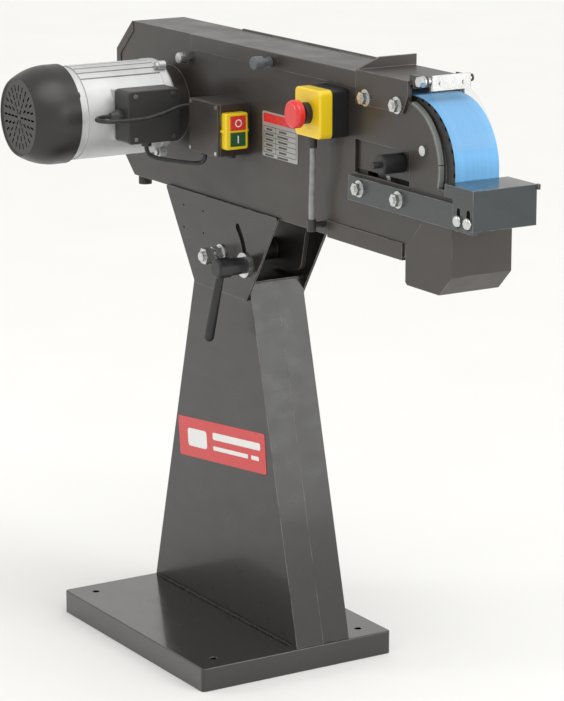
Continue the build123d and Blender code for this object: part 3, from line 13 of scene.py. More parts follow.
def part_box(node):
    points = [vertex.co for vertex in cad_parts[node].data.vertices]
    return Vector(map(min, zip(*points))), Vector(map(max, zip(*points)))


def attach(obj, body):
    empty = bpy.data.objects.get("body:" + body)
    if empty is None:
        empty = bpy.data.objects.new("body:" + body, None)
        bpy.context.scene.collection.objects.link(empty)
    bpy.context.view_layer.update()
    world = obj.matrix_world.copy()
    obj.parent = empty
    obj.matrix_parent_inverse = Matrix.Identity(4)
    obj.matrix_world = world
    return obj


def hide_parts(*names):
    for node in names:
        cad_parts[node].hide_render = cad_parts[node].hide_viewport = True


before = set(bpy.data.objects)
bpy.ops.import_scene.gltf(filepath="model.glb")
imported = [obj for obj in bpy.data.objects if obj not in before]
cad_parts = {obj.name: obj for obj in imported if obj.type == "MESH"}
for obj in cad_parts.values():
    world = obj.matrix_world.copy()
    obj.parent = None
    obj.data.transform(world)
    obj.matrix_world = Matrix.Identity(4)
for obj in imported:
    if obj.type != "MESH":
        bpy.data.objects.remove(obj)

# A pedestal belt grinder: its finishes, its fine pieces and a plain studio around them.
# Metres, +Z up, +X towards the contact wheel, -Y the operator's side.

LOG = logging.getLogger("grinder")
Colour = tuple[float, float, float]
Point = tuple[float, float, float]
MM = 0.001


class Body(Enum):
    """The moving groups of the grinder that new pieces can ride on."""

    PEDESTAL = "pedestal"
    HEAD = "head"
    STOP_BUTTON = "stop_button"
    START_BUTTON = "start_button"


class Facing(Enum):
    """The way that a flat mark or a turned piece faces."""

    OPERATOR = (0.0, -1.0, 0.0)
    WHEEL_END = (1.0, 0.0, 0.0)


# ---- Finishes --------------------------------------------------------------------------------


class ShaderTree:
    """One material's nodes, with short calls that add a node and join it."""

    def __init__(self, name: str) -> None:
        """Start a material.

        Args:
            name: The material's name.
        """
        self.material = bpy.data.materials.new(name)
        self.material.use_nodes = True
        self.tree = self.material.node_tree
        self.surface = self.tree.nodes["Principled BSDF"]
        self.normal: bpy.types.NodeSocket | None = None

    def add(self, kind: str, settings: dict | None = None, inputs: dict | None = None) -> bpy.types.Node:
        """Add a node.

        Args:
            kind: The node's type without its ShaderNode prefix.
            settings: Properties to set on the node.
            inputs: Values or sockets for the node's inputs, by name or number.

        Returns:
            The new node.
        """
        node = self.tree.nodes.new("ShaderNode" + kind)
        for key, value in (settings or {}).items():
            setattr(node, key, value)
        for key, value in (inputs or {}).items():
            if isinstance(value, bpy.types.NodeSocket):
                self.tree.links.new(value, node.inputs[key])
            else:
                node.inputs[key].default_value = value
        return node

    def set(self, **values: object) -> None:
        """Set constants on the principled shader's own sockets, with _ for a space in their names."""
        for key, value in values.items():
            socket = self.surface.inputs[key.replace("_", " ")]
            socket.default_value = (*value, 1.0) if isinstance(value, tuple) else value

    def drive(self, socket: str, source: bpy.types.NodeSocket) -> None:
        """Join a source to one of the principled shader's sockets."""
        self.tree.links.new(source, self.surface.inputs[socket])

    def place(self, stretch: Point = (1.0, 1.0, 1.0)) -> bpy.types.NodeSocket:
        """Give the piece's own coordinates, in metres.

        Args:
            stretch: A scale for each axis.

        Returns:
            The scaled coordinates.
        """
        where = self.add("TexCoord")
        return self.add("Mapping", inputs={"Vector": where.outputs["Object"], "Scale": stretch}).outputs[0]

    def noise(
        self, scale: float, detail: float = 4.0, stretch: Point = (1.0, 1.0, 1.0)
    ) -> bpy.types.NodeSocket:
        """Give soft noise.

        Args:
            scale: Cells in a metre.
            detail: Octaves of finer noise.
            stretch: A scale for each axis.

        Returns:
            A value from 0 to 1.
        """
        inputs = {"Vector": self.place(stretch), "Scale": scale, "Detail": detail}
        return self.add("TexNoise", inputs=inputs).outputs[0]

    def cells(self, scale: float, stretch: Point = (1.0, 1.0, 1.0)) -> bpy.types.NodeSocket:
        """Give the distance to the nearest of many scattered points.

        Args:
            scale: Points in a metre.
            stretch: A scale for each axis.

        Returns:
            The distance, from 0 at a point.
        """
        return self.add("TexVoronoi", inputs={"Vector": self.place(stretch), "Scale": scale}).outputs[0]

    def spread(
        self, value: bpy.types.NodeSocket, low: float, high: float, to_low: float = 0.0, to_high: float = 1.0
    ) -> bpy.types.NodeSocket:
        """Stretch a value from one range to another, and hold it there.

        Args:
            value: The value to stretch.
            low: The value that becomes to_low.
            high: The value that becomes to_high.
            to_low: The result at low.
            to_high: The result at high.

        Returns:
            The stretched value.
        """
        inputs = {0: value, 1: low, 2: high, 3: to_low, 4: to_high}
        return self.add("MapRange", inputs=inputs).outputs[0]

    def combine(
        self, operation: str, first: bpy.types.NodeSocket | float, second: bpy.types.NodeSocket | float
    ) -> bpy.types.NodeSocket:
        """Combine two values.

        Args:
            operation: A Math node's operation.
            first: The first value.
            second: The second value.

        Returns:
            The result.
        """
        return self.add("Math", {"operation": operation}, {0: first, 1: second}).outputs[0]

    def tint(
        self,
        share: bpy.types.NodeSocket,
        first: Colour | bpy.types.NodeSocket,
        second: Colour | bpy.types.NodeSocket,
    ) -> bpy.types.NodeSocket:
        """Go from one colour to another.

        Args:
            share: 0 for the first colour, 1 for the second.
            first: The first colour.
            second: The second colour.

        Returns:
            The mixed colour.
        """
        ends = [c if isinstance(c, bpy.types.NodeSocket) else (*c, 1.0) for c in (first, second)]
        node = self.add("Mix", {"data_type": "RGBA"}, {0: share, 6: ends[0], 7: ends[1]})
        return node.outputs[2]

    def edges(self, radius: float) -> bpy.types.NodeSocket:
        """Find the piece's sharp edges, and let the bump that follows round them.

        Args:
            radius: How far from an edge counts, in metres.

        Returns:
            1 on an edge and 0 away from it.
        """
        rounded = self.add("Bevel", {"samples": 6}, {"Radius": radius}).outputs[0]
        self.normal = rounded
        flat = self.add("NewGeometry").outputs["Normal"]
        match = self.add("VectorMath", {"operation": "DOT_PRODUCT"}, {0: rounded, 1: flat}).outputs["Value"]
        return self.spread(match, 0.995, 0.86)

    def bump(self, height: bpy.types.NodeSocket, distance: float, strength: float = 1.0) -> None:
        """Raise the surface by a height, on top of any earlier bump.

        Args:
            height: The height, from 0 to 1.
            distance: The height of 1, in metres.
            strength: How much of it shows.
        """
        inputs: dict = {"Height": height, "Distance": distance, "Strength": strength}
        if self.normal is not None:
            inputs["Normal"] = self.normal
        self.normal = self.add("Bump", inputs=inputs).outputs[0]
        self.drive("Normal", self.normal)


@dataclass(frozen=True)
class PowderCoat:
    """Baked paint on sheet steel: an orange-peel skin, dusty patches, and pale edges that are partly paint
    rubbed thin and partly a painted highlight.
    """

    name: str
    colour: Colour
    wear_highlight_colour: Colour = (0.42, 0.37, 0.34)
    roughness: float = 0.36
    wear_and_highlight: float = 0.8
    peel: float = 0.00005
    gloss: float = 0.1

    def material(self) -> bpy.types.Material:
        """Make the material."""
        shader = ShaderTree(self.name)
        patch = shader.noise(7.0, 5.0)
        light = tuple(min(1.0, c * 1.22) for c in self.colour)
        ground = shader.tint(shader.spread(patch, 0.35, 0.7), self.colour, light)
        # Edges are tinted towards a pale colour: partly paint worn thin, partly a painted highlight along the
        # edges.
        edges = shader.edges(0.0016)
        patches = shader.spread(shader.noise(38.0, 6.0), 0.3, 0.6)
        rubbed_and_highlit = shader.combine("MULTIPLY", shader.combine("MULTIPLY", edges, patches), self.wear_and_highlight)
        shader.drive("Base Color", shader.tint(rubbed_and_highlit, ground, self.wear_highlight_colour))
        smear = shader.noise(24.0, 6.0, (0.6, 1.0, 1.6))
        smooth, rough = self.roughness - 0.05, self.roughness + 0.1
        shader.drive("Roughness", shader.spread(smear, 0.3, 0.75, smooth, rough))
        shader.set(Coat_Weight=self.gloss, Coat_Roughness=0.1)
        shader.bump(shader.noise(420.0, 2.0), self.peel)
        return shader.material


@dataclass(frozen=True)
class PlatedSteel:
    """Bright zinc or bare steel with faint drawing lines and cloudy plating."""

    name: str
    colour: Colour
    roughness: float = 0.3
    grain: Point = (1.0, 1.0, 1.0)
    cloud: float = 0.18

    def material(self) -> bpy.types.Material:
        """Make the material."""
        shader = ShaderTree(self.name)
        shader.set(Metallic=1.0)
        cloudy = shader.spread(shader.noise(60.0, 5.0), 0.3, 0.7)
        dull = tuple(c * (1.0 - self.cloud) for c in self.colour)
        shader.drive("Base Color", shader.tint(cloudy, dull, self.colour))
        lines = shader.noise(500.0, 3.0, self.grain)
        smooth, rough = self.roughness - 0.07, self.roughness + 0.1
        shader.drive("Roughness", shader.spread(lines, 0.25, 0.75, smooth, rough))
        shader.bump(lines, 0.00002)
        return shader.material


@dataclass(frozen=True)
class CastAlloy:
    """Silver-painted aluminium castings and extrusions with a fine sand-cast skin."""

    name: str
    colour: Colour
    metallic: float = 0.6
    roughness: float = 0.42
    pits: float = 0.00008

    def material(self) -> bpy.types.Material:
        """Make the material."""
        shader = ShaderTree(self.name)
        shader.set(Metallic=self.metallic)
        stain = shader.spread(shader.noise(18.0, 6.0), 0.35, 0.75)
        dark = tuple(c * 0.84 for c in self.colour)
        shader.drive("Base Color", shader.tint(stain, self.colour, dark))
        skin = shader.noise(900.0, 3.0)
        shader.drive("Roughness", shader.spread(skin, 0.3, 0.7, self.roughness, self.roughness + 0.14))
        shader.bump(skin, self.pits)
        return shader.material


@dataclass(frozen=True)
class MouldedPlastic:
    """Injection-moulded plastic with a spark-eroded grain and edges that catch the light."""

    name: str
    colour: Colour
    roughness: float = 0.42
    grain: float = 0.00005
    coat: float = 0.0

    def material(self) -> bpy.types.Material:
        """Make the material."""
        shader = ShaderTree(self.name)
        pale = tuple(min(1.0, c * 1.25 + 0.015) for c in self.colour)
        shader.drive("Base Color", shader.tint(shader.edges(0.0009), self.colour, pale))
        rub = shader.noise(55.0, 5.0)
        shader.drive("Roughness", shader.spread(rub, 0.3, 0.75, self.roughness - 0.04, self.roughness + 0.08))
        shader.set(Coat_Weight=self.coat, Coat_Roughness=0.08)
        shader.bump(shader.noise(1600.0, 2.0), self.grain)
        return shader.material


@dataclass(frozen=True)
class MatRubber:
    """Rubber or a soft cable sheath with a dusty bloom."""

    name: str
    colour: Colour
    roughness: float = 0.6

    def material(self) -> bpy.types.Material:
        """Make the material."""
        shader = ShaderTree(self.name)
        bloom = shader.spread(shader.noise(90.0, 6.0), 0.4, 0.75)
        dusty = tuple(min(1.0, c * 1.5 + 0.012) for c in self.colour)
        shader.drive("Base Color", shader.tint(bloom, self.colour, dusty))
        shader.set(Roughness=self.roughness)
        shader.bump(shader.noise(1100.0, 3.0), 0.00006)
        return shader.material


@dataclass(frozen=True)
class AbrasiveCloth:
    """A new abrasive belt: sharp coloured grit, with faint coating streaks along its run."""

    name: str
    colour: Colour
    shadow: Colour
    grit_scale: float = 2600.0

    def material(self) -> bpy.types.Material:
        """Make the material."""
        shader = ShaderTree(self.name)
        streak = shader.spread(shader.noise(1.0, 3.0, (3.0, 420.0, 3.0)), 0.3, 0.72)
        grit = shader.cells(self.grit_scale)
        speck = shader.spread(grit, 0.05, 0.6)
        body = shader.tint(shader.combine("MULTIPLY", streak, 0.75), self.shadow, self.colour)
        shader.drive("Base Color", shader.tint(shader.combine("MULTIPLY", speck, 0.35), body, self.shadow))
        shader.set(Roughness=0.62, Sheen_Weight=0.12)
        shader.bump(grit, 0.00012, 0.6)
        return shader.material


@dataclass(frozen=True)
class ClearSheet:
    """Clear moulded sheet with a faint smoke tint and light scuffs."""

    name: str
    colour: Colour
    alpha: float = 0.3

    def material(self) -> bpy.types.Material:
        """Make the material."""
        shader = ShaderTree(self.name)
        shader.set(Base_Color=self.colour, IOR=1.49, Alpha=self.alpha)
        scuff = shader.noise(70.0, 6.0, (1.0, 1.0, 5.0))
        shader.drive("Roughness", shader.spread(scuff, 0.45, 0.8, 0.04, 0.22))
        return shader.material


@dataclass(frozen=True)
class Copper:
    """Lacquered windings between dark laminations."""

    name: str
    colour: Colour

    def material(self) -> bpy.types.Material:
        """Make the material."""
        shader = ShaderTree(self.name)
        turns = shader.spread(shader.noise(1.0, 2.0, (60.0, 900.0, 60.0)), 0.35, 0.65)
        shader.drive("Base Color", shader.tint(turns, self.colour, tuple(c * 0.35 for c in self.colour)))
        shader.set(Metallic=0.7, Roughness=0.4)
        shader.bump(turns, 0.0002)
        return shader.material


class Finishes:
    """Every finish on the grinder, made once."""

    def __init__(self) -> None:
        """Make the materials."""
        self.black_paint = PowderCoat("black_powder_coat", (0.030, 0.0245, 0.0215)).material()
        self.column_paint = PowderCoat(
            "column_powder_coat", (0.0105, 0.0092, 0.0085), roughness=0.3, gloss=0.3
        ).material()
        self.base_paint = PowderCoat(
            "base_powder_coat", (0.0105, 0.0092, 0.0085), roughness=0.2, gloss=0.8
        ).material()
        self.slate_paint = PowderCoat(
            "slate_powder_coat", (0.013, 0.019, 0.020), (0.35, 0.35, 0.34),
            roughness=0.28, wear_and_highlight=0.9, gloss=0.5,
        ).material()
        # The slide rails' near-black steel is painted shade, standing for the shadow inside the door's
        # window.
        self.window_shade_steel = PlatedSteel("rail_steel_painted_shade", (0.05, 0.05, 0.05), roughness=0.4).material()
        self.strip_paint = PowderCoat(
            "grey_strip_paint", (0.17, 0.185, 0.17), (0.5, 0.5, 0.48), roughness=0.38
        ).material()
        self.zinc = PlatedSteel("bright_zinc", (0.66, 0.67, 0.66), roughness=0.27).material()
        self.steel = PlatedSteel("ground_steel", (0.46, 0.46, 0.47), grain=(6.0, 1.0, 1.0)).material()
        self.weld = PlatedSteel("painted_weld", (0.055, 0.05, 0.045), roughness=0.4).material()
        self.alloy = CastAlloy("silver_motor_alloy", (0.66, 0.67, 0.67)).material()
        self.wheel_alloy = CastAlloy("cast_wheel_alloy", (0.55, 0.56, 0.56), 0.9, 0.36).material()
        self.black_plastic = MouldedPlastic("black_plastic", (0.014, 0.014, 0.015)).material()
        self.box_plastic = MouldedPlastic("box_plastic", (0.034, 0.033, 0.033), 0.4).material()
        self.cowl_plastic = MouldedPlastic("cowl_paint", (0.020, 0.018, 0.018), 0.34).material()
        self.grey_plastic = MouldedPlastic("grey_knob_plastic", (0.10, 0.11, 0.12), 0.35).material()
        self.yellow = MouldedPlastic("yellow_plastic", (0.88, 0.62, 0.012), 0.3, coat=0.3).material()
        self.red = MouldedPlastic("red_plastic", (0.72, 0.022, 0.018), 0.28, coat=0.4).material()
        self.green = MouldedPlastic("green_plastic", (0.010, 0.085, 0.024), 0.3, coat=0.3).material()
        self.white_print = MouldedPlastic("white_print", (0.82, 0.82, 0.80), 0.4, 0.00001).material()
        self.red_film = MouldedPlastic("red_film", (0.62, 0.018, 0.02), 0.25, 0.00001, 0.3).material()
        self.plate_ground = CastAlloy("plate_ground", (0.42, 0.41, 0.40), 0.5, 0.3, 0.00001).material()
        self.dark_print = MouldedPlastic("dark_print", (0.05, 0.048, 0.046), 0.4, 0.00001).material()
        self.tread = MatRubber("tread_rubber", (0.022, 0.020, 0.018)).material()
        self.sheath = MatRubber("black_sheath", (0.012, 0.012, 0.013), 0.45).material()
        self.grey_sheath = MatRubber("grey_sheath", (0.24, 0.25, 0.25), 0.5).material()
        self.abrasive = AbrasiveCloth("blue_abrasive", (0.20, 0.50, 0.82), (0.12, 0.37, 0.68)).material()
        self.windings = Copper("stator_windings", (0.45, 0.19, 0.07)).material()
        self.clear = ClearSheet("clear_shield", (0.34, 0.40, 0.44), 0.07).material()


# ---- Mesh work -------------------------------------------------------------------------------


def dress(nodes: Iterable[str], material: bpy.types.Material) -> None:
    """Give CAD nodes a finish.

    Args:
        nodes: The names of the nodes.
        material: The finish.
    """
    for name in nodes:
        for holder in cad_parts[name].material_slots:
            holder.material = material
        LOG.info("dressed %s with %s", name, material.name)


def finished_piece(
    form: bmesh.types.BMesh, name: str, material: bpy.types.Material, body: Body,
    smooth: bool = True,
) -> bpy.types.Object:
    """Turn a mesh form into a piece of the grinder.

    Args:
        form: The mesh, in the frame, which is freed.
        name: The piece's name.
        material: Its finish.
        body: What it moves with.
        smooth: Whether its curved faces are shaded smooth.

    Returns:
        The new object.
    """
    bmesh.ops.recalc_face_normals(form, faces=form.faces[:])
    mesh = bpy.data.meshes.new(name)
    form.to_mesh(mesh)
    form.free()
    mesh.materials.append(material)
    piece = bpy.data.objects.new(name, mesh)
    bpy.context.scene.collection.objects.link(piece)
    if smooth:
        mesh.shade_smooth()
        mesh.set_sharp_from_angle(angle=math.radians(35))
    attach(piece, body.value)
    LOG.info("built %s on %s, %d faces", name, body.value, len(mesh.polygons))
    return piece


def turned_to(facing: Point, centre: Point) -> Matrix:
    """Give the matrix that takes a piece made facing +Z to its place.

    Args:
        facing: The direction that +Z becomes. +Y stays as near to up as it can.
        centre: Where the origin goes.

    Returns:
        The matrix.
    """
    normal = Vector(facing).normalized()
    up = Vector((0, 0, 1)) if abs(normal.z) < 0.9 else Vector((0, 1, 0))
    across = up.cross(normal).normalized()
    rows = Matrix((across, normal.cross(across), normal)).transposed()
    return Matrix.Translation(Vector(centre)) @ rows.to_4x4()


def add_lathe(
    form: bmesh.types.BMesh, profile: Sequence[tuple[float, float]], place: Matrix, steps: int = 40
) -> None:
    """Add a turned solid.

    Args:
        form: The mesh to add to.
        profile: Radius and height of each point, from the axis round to the axis.
        place: Where the solid's own +Z axis goes.
        steps: Faces in a turn.
    """
    rings = []
    for radius, height in profile:
        if radius < 1e-7:
            rings.append([form.verts.new(place @ Vector((0, 0, height)))])
            continue
        turns = [math.tau * i / steps for i in range(steps)]
        rings.append(
            [
                form.verts.new(place @ Vector((radius * math.cos(t), radius * math.sin(t), height)))
                for t in turns
            ]
        )
    for low, high in zip(rings, rings[1:]):
        for i in range(steps):
            j = (i + 1) % steps
            corners = [low[i % len(low)], low[j % len(low)], high[j % len(high)], high[i % len(high)]]
            unique = list(dict.fromkeys(corners))
            if len(unique) > 2:
                form.faces.new(unique)


def add_tile(
    form: bmesh.types.BMesh,
    place: Matrix,
    centre: tuple[float, float],
    size: tuple[float, float],
    height: float,
    corner: float = 0.0,
) -> None:
    """Add a thin rounded tile that stands on the plane z = 0 of its place.

    Args:
        form: The mesh to add to.
        place: Where the tile's own XY plane goes.
        centre: The tile's middle on that plane.
        size: Its width and height on that plane.
        height: Its thickness.
        corner: Its corners' radius.
    """
    half = Vector((size[0] / 2 - corner, size[1] / 2 - corner))
    outline = []
    for quarter, (sx, sy) in enumerate(((1, 1), (-1, 1), (-1, -1), (1, -1))):
        for i in range(5 if corner else 1):
            turn = math.radians(90 * quarter + 22.5 * i)
            outline.append(
                (
                    centre[0] + sx * half.x + corner * math.cos(turn),
                    centre[1] + sy * half.y + corner * math.sin(turn),
                )
            )
    low = [form.verts.new(place @ Vector((x, y, 0))) for x, y in outline]
    high = [form.verts.new(place @ Vector((x, y, height))) for x, y in outline]
    form.faces.new(low[::-1])
    form.faces.new(high)
    for i in range(len(low)):
        j = (i + 1) % len(low)
        form.faces.new((low[i], low[j], high[j], high[i]))


def nurbs_line(name: str, route_mm: Sequence[Point], diameter: float) -> bpy.types.Object:
    """Make a round cord on one smooth open curve.

    Args:
        name: The cord's name.
        route_mm: The route's points, in millimetres.
        diameter: The cord's diameter, in metres.

    Returns:
        The curve object.
    """
    data = bpy.data.curves.new(name, "CURVE")
    data.dimensions = "3D"
    line = data.splines.new("NURBS")
    line.points.add(len(route_mm) - 1)
    for point, place in zip(line.points, route_mm):
        point.co = (*(c * MM for c in place), 1.0)
    line.order_u = 3
    line.use_endpoint_u = True
    data.resolution_u = 14
    data.bevel_depth = diameter / 2
    data.bevel_resolution = 6
    data.use_fill_caps = True
    cord = bpy.data.objects.new(name, data)
    bpy.context.scene.collection.objects.link(cord)
    return cord


# ---- Sub-assemblies --------------------------------------------------------------------------


@dataclass
class Cables:
    """The three leads between the motor, the switch box and the emergency stop."""

    lead_diameter: float = 0.007
    stop_diameter: float = 0.009
    motor_route: tuple[Point, ...] = (
        (-69.84, -163, 860),
        (-69.84, -180, 860),
        (-57, -195, 859.5),
        (-41, -195, 859),
        (-30, -180, 858.5),
        (-29, -152, 858),
        (-27, -118, 859),
        (-28, -88, 865),
        (-31, -66, 871),
        (-33, -48, 873),
        (-31, -37, 873.1),
        (-23, -30, 873),
        (-11, -30, 873),
    )
    control_route: tuple[Point, ...] = (
        (8, -36, 801),
        (8, -36, 789),
        (-8, -43, 783),
        (-31, -57, 784),
        (-51, -75, 786),
        (-65, -91, 790),
        (-69.84, -98, 798),
        (-69.84, -98, 808),
    )
    stop_route: tuple[Point, ...] = ((306, -24, 853), (306, -24, 815), (295, -19, 780), (295, -19, 742))

    def build(self, finishes: Finishes) -> None:
        """Lay the three leads in place of the packed cables, and log their given lengths.

        Args:
            finishes: The grinder's finishes.
        """
        leads = (
            ("motor_lead", self.motor_route, self.lead_diameter, 0.235, finishes.sheath, "motor_cable"),
            ("control_lead", self.control_route, self.lead_diameter, 0.125, finishes.sheath, "control_cable"),
            ("stop_lead", self.stop_route, self.stop_diameter, 0.112, finishes.grey_sheath, "stop_cable"),
        )
        for name, route, diameter, length, material, node in leads:
            lead = nurbs_line(name, route, diameter)
            lead.data.materials.append(material)
            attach(lead, Body.HEAD.value)
            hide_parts(node)
            LOG.info("laid %s, %.3f m", name, length)


@dataclass
class Studio:
    """A plain pale floor, soft lights and the camera."""

    eye: Point = (3.9348, -2.3188, 1.5898)
    tilt: float = 76.294
    turn: float = 58.302
    lens: float = 150.13
    floor_size: float = 60.0

    def camera(self) -> None:
        """Set the camera up at the viewing angle."""
        data = bpy.data.cameras.new("studio_camera")
        data.lens = self.lens
        data.sensor_width = 36.0
        camera = bpy.data.objects.new("studio_camera", data)
        camera.location = self.eye
        camera.rotation_euler = (math.radians(self.tilt), 0.0, math.radians(self.turn))
        bpy.context.scene.collection.objects.link(camera)
        bpy.context.scene.camera = camera

    def floor(self) -> None:
        """Lay the floor."""
        form = bmesh.new()
        bmesh.ops.create_grid(form, x_segments=2, y_segments=2, size=self.floor_size / 2)
        mesh = bpy.data.meshes.new("floor")
        form.to_mesh(mesh)
        form.free()
        shader = ShaderTree("pale_floor")
        shader.drive("Base Color", shader.tint(shader.noise(3.0), (0.80, 0.80, 0.79), (0.84, 0.84, 0.83)))
        shader.set(Roughness=0.75)
        mesh.materials.append(shader.material)
        floor = bpy.data.objects.new("floor", mesh)
        bpy.context.scene.collection.objects.link(floor)

    def lamp(self, name: str, kind: str, place: Point, power: float, **shape: float) -> None:
        """Hang one soft light that looks at the middle of the grinder.

        Args:
            name: The light's name.
            kind: AREA or SUN.
            place: Where it hangs.
            power: Its power in watts, or a sun's strength.
            shape: The size of an area, or the angle of a sun.
        """
        data = bpy.data.lights.new(name, kind)
        data.energy = power
        for key, value in shape.items():
            setattr(data, key, value)
        lamp = bpy.data.objects.new(name, data)
        lamp.location = place
        aim = Vector((0.1, 0.0, 0.55)) - Vector(place)
        lamp.rotation_euler = aim.to_track_quat("-Z", "Y").to_euler()
        bpy.context.scene.collection.objects.link(lamp)

    def lights(self) -> None:
        """Light the room evenly, brightest above the wheel's end."""
        world = bpy.data.worlds.new("studio")
        world.use_nodes = True
        world.node_tree.nodes["Background"].inputs["Color"].default_value = (1.0, 0.99, 0.97, 1.0)
        world.node_tree.nodes["Background"].inputs["Strength"].default_value = 0.78
        bpy.context.scene.world = world
        self.lamp("room_light", "SUN", (2.2, 0.2, 4.6), 1.35, angle=math.radians(50))
        self.lamp("end_light", "AREA", (3.4, 1.4, 1.6), 34.0, size=1.8)
        self.lamp("cowl_light", "AREA", (-1.6, -2.8, 1.5), 16.0, size=0.7)

    def build(self) -> None:
        """Set up the camera, the floor and the lights."""
        self.camera()
        self.floor()
        self.lights()
        bpy.context.scene.view_settings.view_transform = "Standard"


@dataclass
class Pedestal:
    """The bolted base, the tapered column, its weld and its label."""

    bead: float = 0.0034
    bead_pitch: float = 0.0042
    spatter_count: int = 70
    label_tilt: float = math.atan(0.11)
    rng: random.Random = field(default_factory=lambda: random.Random(12))

    def dress(self, finishes: Finishes) -> None:
        """Paint the sheet metal."""
        dress(("base_tray",), finishes.base_paint)
        dress(("column_front", "column_rear", "yoke_front", "yoke_back"), finishes.column_paint)
        dress(("column_label",), finishes.red_film)
        dress(("pivot_bolt",), finishes.zinc)

    def weld_form(self, start: Vector, end: Vector, form: bmesh.types.BMesh) -> None:
        """Add a rippled weld bead between two points.

        Args:
            start: Where the bead starts.
            end: Where it ends.
            form: The mesh to add to.
        """
        run = end - start
        frame_at = turned_to(tuple(run), (0, 0, 0))
        count = int(run.length / self.bead_pitch * 4)
        rings = []
        for i in range(count + 1):
            share = i / count
            ripple = 1.0 + 0.16 * math.sin(share * run.length / self.bead_pitch * math.tau)
            width = self.bead * ripple * (0.9 + 0.2 * self.rng.random())
            width *= min(1.0, 0.3 + 12 * min(share, 1 - share))
            middle = start + run * share
            ring = []
            for k in range(10):
                turn = math.tau * k / 10
                offset = frame_at @ Vector((math.cos(turn) * width, math.sin(turn) * width, 0))
                ring.append(form.verts.new(middle + offset))
            rings.append(ring)
        for low, high in zip(rings, rings[1:]):
            for k in range(10):
                j = (k + 1) % 10
                form.faces.new((low[k], low[j], high[j], high[k]))
        form.faces.new(rings[0])
        form.faces.new(rings[-1][::-1])

    def build_weld(self, finishes: Finishes) -> None:
        """Run the bead along the column's foot, with spatter beside it."""
        low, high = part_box("column_front")
        form = bmesh.new()
        front = low.y
        inset = 0.004
        self.weld_form(Vector((low.x + inset, front, low.z)), Vector((high.x - inset, front, low.z)), form)
        finished_piece(form, "foot_weld", finishes.weld, Body.PEDESTAL)
        form = bmesh.new()
        for _ in range(self.spatter_count):
            along = self.rng.uniform(low.x + 0.01, high.x - 0.01)
            away = abs(self.rng.gauss(0.0, 0.011)) + 0.003
            radius = self.rng.uniform(0.0004, 0.0012)
            on_base = self.rng.random() < 0.6
            centre = (along, front - away, low.z) if on_base else (along * 0.9, front, low.z + away)
            place = turned_to((0, 0, 1) if on_base else (0, -1, 0), centre)
            dome = [(radius, -0.0002), (radius, 0.0), (radius * 0.75, radius * 0.6), (0.0, radius * 0.9)]
            add_lathe(form, [(0.0, -0.0002), *dome], place, 8)
        finished_piece(form, "weld_spatter", finishes.weld, Body.PEDESTAL)

    def build_label(self, finishes: Finishes) -> None:
        """Print plain bars on the tilted label."""
        low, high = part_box("column_label")
        middle = (low + high) / 2
        place = turned_to(Facing.OPERATOR.value, (middle.x, low.y, middle.z)) @ Matrix.Rotation(
            self.label_tilt, 4, "Z"
        )
        form = bmesh.new()
        add_tile(form, place, (-0.078, 0.0), (0.062, 0.030), 0.00012, 0.006)
        add_tile(form, place, (0.048, 0.010), (0.150, 0.012), 0.00012, 0.003)
        add_tile(form, place, (0.028, -0.010), (0.110, 0.007), 0.00012, 0.002)
        add_tile(form, place, (0.105, -0.010), (0.024, 0.007), 0.00012, 0.002)
        finished_piece(form, "label_bars", finishes.white_print, Body.PEDESTAL, False)

    def build(self, finishes: Finishes) -> None:
        """Dress the pedestal and add its weld and label."""
        self.dress(finishes)
        self.build_weld(finishes)
        self.build_label(finishes)


@dataclass
class Housing:
    """The belt housing with its door, lid, guards, knobs and nameplate."""

    painted: tuple[str, ...] = (
        "frame_plate",
        "rear_shell",
        "pivot_bracket",
        "lower_guard",
        "hinge_set",
        "wheel_guard",
        "lid",
        "belt_door",
        "dust_box",
    )
    plate_rows: int = 6
    print_height: float = 0.00012

    def dress(self, finishes: Finishes) -> None:
        """Paint and plate the housing."""
        dress(self.painted, finishes.black_paint)
        dress(("guard_strips",), finishes.strip_paint)
        dress(("rubber_buffers",), finishes.tread)
        dress(("tracking_knob", "zinc_bolts"), finishes.zinc)
        dress(("lid_knob",), finishes.grey_plastic)
        dress(("door_knob", "tension_knob", "clamp_lever"), finishes.black_plastic)
        dress(("nameplate",), finishes.plate_ground)

    def build_nameplate(self, finishes: Finishes) -> None:
        """Print a plain head band and a ruled table on the nameplate."""
        low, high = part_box("nameplate")
        width, height = high.x - low.x, high.z - low.z
        place = turned_to(Facing.OPERATOR.value, ((low.x + high.x) / 2, low.y, (low.z + high.z) / 2))
        head = bmesh.new()
        add_tile(head, place, (0.0, height * 0.36), (width * 0.94, height * 0.2), self.print_height, 0.002)
        finished_piece(head, "plate_head", finishes.red_film, Body.HEAD, False)
        lines = bmesh.new()
        for row in range(self.plate_rows):
            level = height * (0.17 - 0.115 * row)
            add_tile(lines, place, (0.0, level), (width * 0.92, 0.0009), self.print_height)
            for share, part in ((-0.3, 0.24), (0.08, 0.3)):
                bar = (width * part * (0.7 + 0.3 * ((row * 3) % 4) / 3), height * 0.045)
                add_tile(lines, place, (width * share, level - height * 0.058), bar, self.print_height)
        for share in (-0.46, -0.12, 0.46):
            centre = (width * share, -height * 0.115)
            add_tile(lines, place, centre, (0.0009, height * 0.58), self.print_height)
        finished_piece(lines, "plate_table", finishes.dark_print, Body.HEAD, False)

    def build(self, finishes: Finishes) -> None:
        """Dress the housing and print its nameplate."""
        self.dress(finishes)
        self.build_nameplate(finishes)


@dataclass
class BeltDrive:
    """The abrasive belt, its wheels, the platen and the tension slide."""

    def build(self, finishes: Finishes) -> None:
        """Dress the running gear."""
        dress(("abrasive_belt",), finishes.abrasive)
        dress(("wheel_hub", "drive_pulley"), finishes.wheel_alloy)
        dress(("wheel_tyre",), finishes.tread)
        dress(("wheel_bearings", "platen", "tension_cylinder"), finishes.steel)
        # Painted shade: the rails are made near-black for the shadow inside the door's window.
        dress(("slide_rails",), finishes.window_shade_steel)
        dress(("tension_slide",), finishes.black_paint)


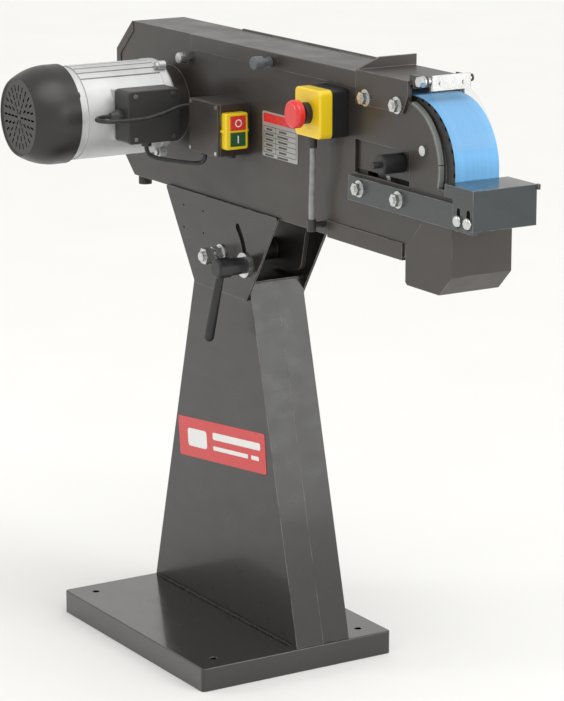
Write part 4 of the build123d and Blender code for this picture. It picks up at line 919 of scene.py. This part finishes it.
@dataclass
class Motor:
    """The foot-less motor with its ribbed body, cowl and terminal box."""

    def build(self, finishes: Finishes) -> None:
        """Dress the motor."""
        dress(("motor_frame", "motor_shields"), finishes.alloy)
        dress(("stator_core",), finishes.windings)
        dress(("motor_bearings", "rotor"), finishes.steel)
        dress(("motor_fan",), finishes.black_plastic)
        dress(("fan_cowl",), finishes.cowl_plastic)
        dress(("terminal_box", "terminal_cover", "cable_glands"), finishes.box_plastic)


@dataclass
class Switches:
    """The switch box with its two buttons, and the emergency stop."""

    mark_height: float = 0.00015

    def dress(self, finishes: Finishes) -> None:
        """Dress the boxes and buttons."""
        dress(("switch_box", "switch_cover"), finishes.black_paint)
        dress(("cover_screws",), finishes.zinc)
        dress(("switch_frame", "estop_cover"), finishes.yellow)
        dress(("estop_base",), finishes.black_plastic)
        dress(("stop_button", "estop_button"), finishes.red)
        dress(("start_button",), finishes.green)

    def build_marks(self, finishes: Finishes) -> None:
        """Mark the stop button with a ring and the start button with a bar."""
        low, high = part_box("stop_button")
        place = turned_to(Facing.WHEEL_END.value, (high.x, (low.y + high.y) / 2, (low.z + high.z) / 2))
        ring = bmesh.new()
        steps = 32
        loops = []
        top = self.mark_height
        for radius, height in ((0.0062, 0.0), (0.0062, top), (0.0044, top), (0.0044, 0.0)):
            turns = [math.tau * i / steps for i in range(steps)]
            loops.append(
                [
                    ring.verts.new(place @ Vector((radius * math.cos(t), radius * math.sin(t), height)))
                    for t in turns
                ]
            )
        for first, second in zip(loops, loops[1:] + loops[:1]):
            for i in range(steps):
                j = (i + 1) % steps
                ring.faces.new((first[i], first[j], second[j], second[i]))
        finished_piece(ring, "stop_mark", finishes.white_print, Body.STOP_BUTTON, False)
        low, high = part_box("start_button")
        place = turned_to(Facing.WHEEL_END.value, (high.x, (low.y + high.y) / 2, (low.z + high.z) / 2))
        bar = bmesh.new()
        add_tile(bar, place, (0.0, 0.0), (0.0022, 0.012), self.mark_height, 0.0008)
        finished_piece(bar, "start_mark", finishes.white_print, Body.START_BUTTON, False)

    def build(self, finishes: Finishes) -> None:
        """Dress the switches and mark the buttons."""
        self.dress(finishes)
        self.build_marks(finishes)


@dataclass
class WorkRest:
    """The work rest on its bar, and the clear eye shield."""

    def build(self, finishes: Finishes) -> None:
        """Dress the rest and the shield."""
        dress(("rest_arm", "rest_table"), finishes.slate_paint)
        dress(("shield_clamp",), finishes.zinc)
        dress(("eye_shield",), finishes.clear)


def main() -> None:
    """Build the studio and every sub-assembly, and note the sizes."""
    logging.basicConfig(level=logging.INFO, format="%(name)s: %(message)s")
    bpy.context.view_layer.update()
    Studio().build()
    finishes = Finishes()
    Cables().build(finishes)
    for assembly in (Pedestal(), Housing(), BeltDrive(), Motor(), Switches(), WorkRest()):
        assembly.build(finishes)
        LOG.info("finished %s", type(assembly).__name__)


if __name__ == "__main__":
    main()
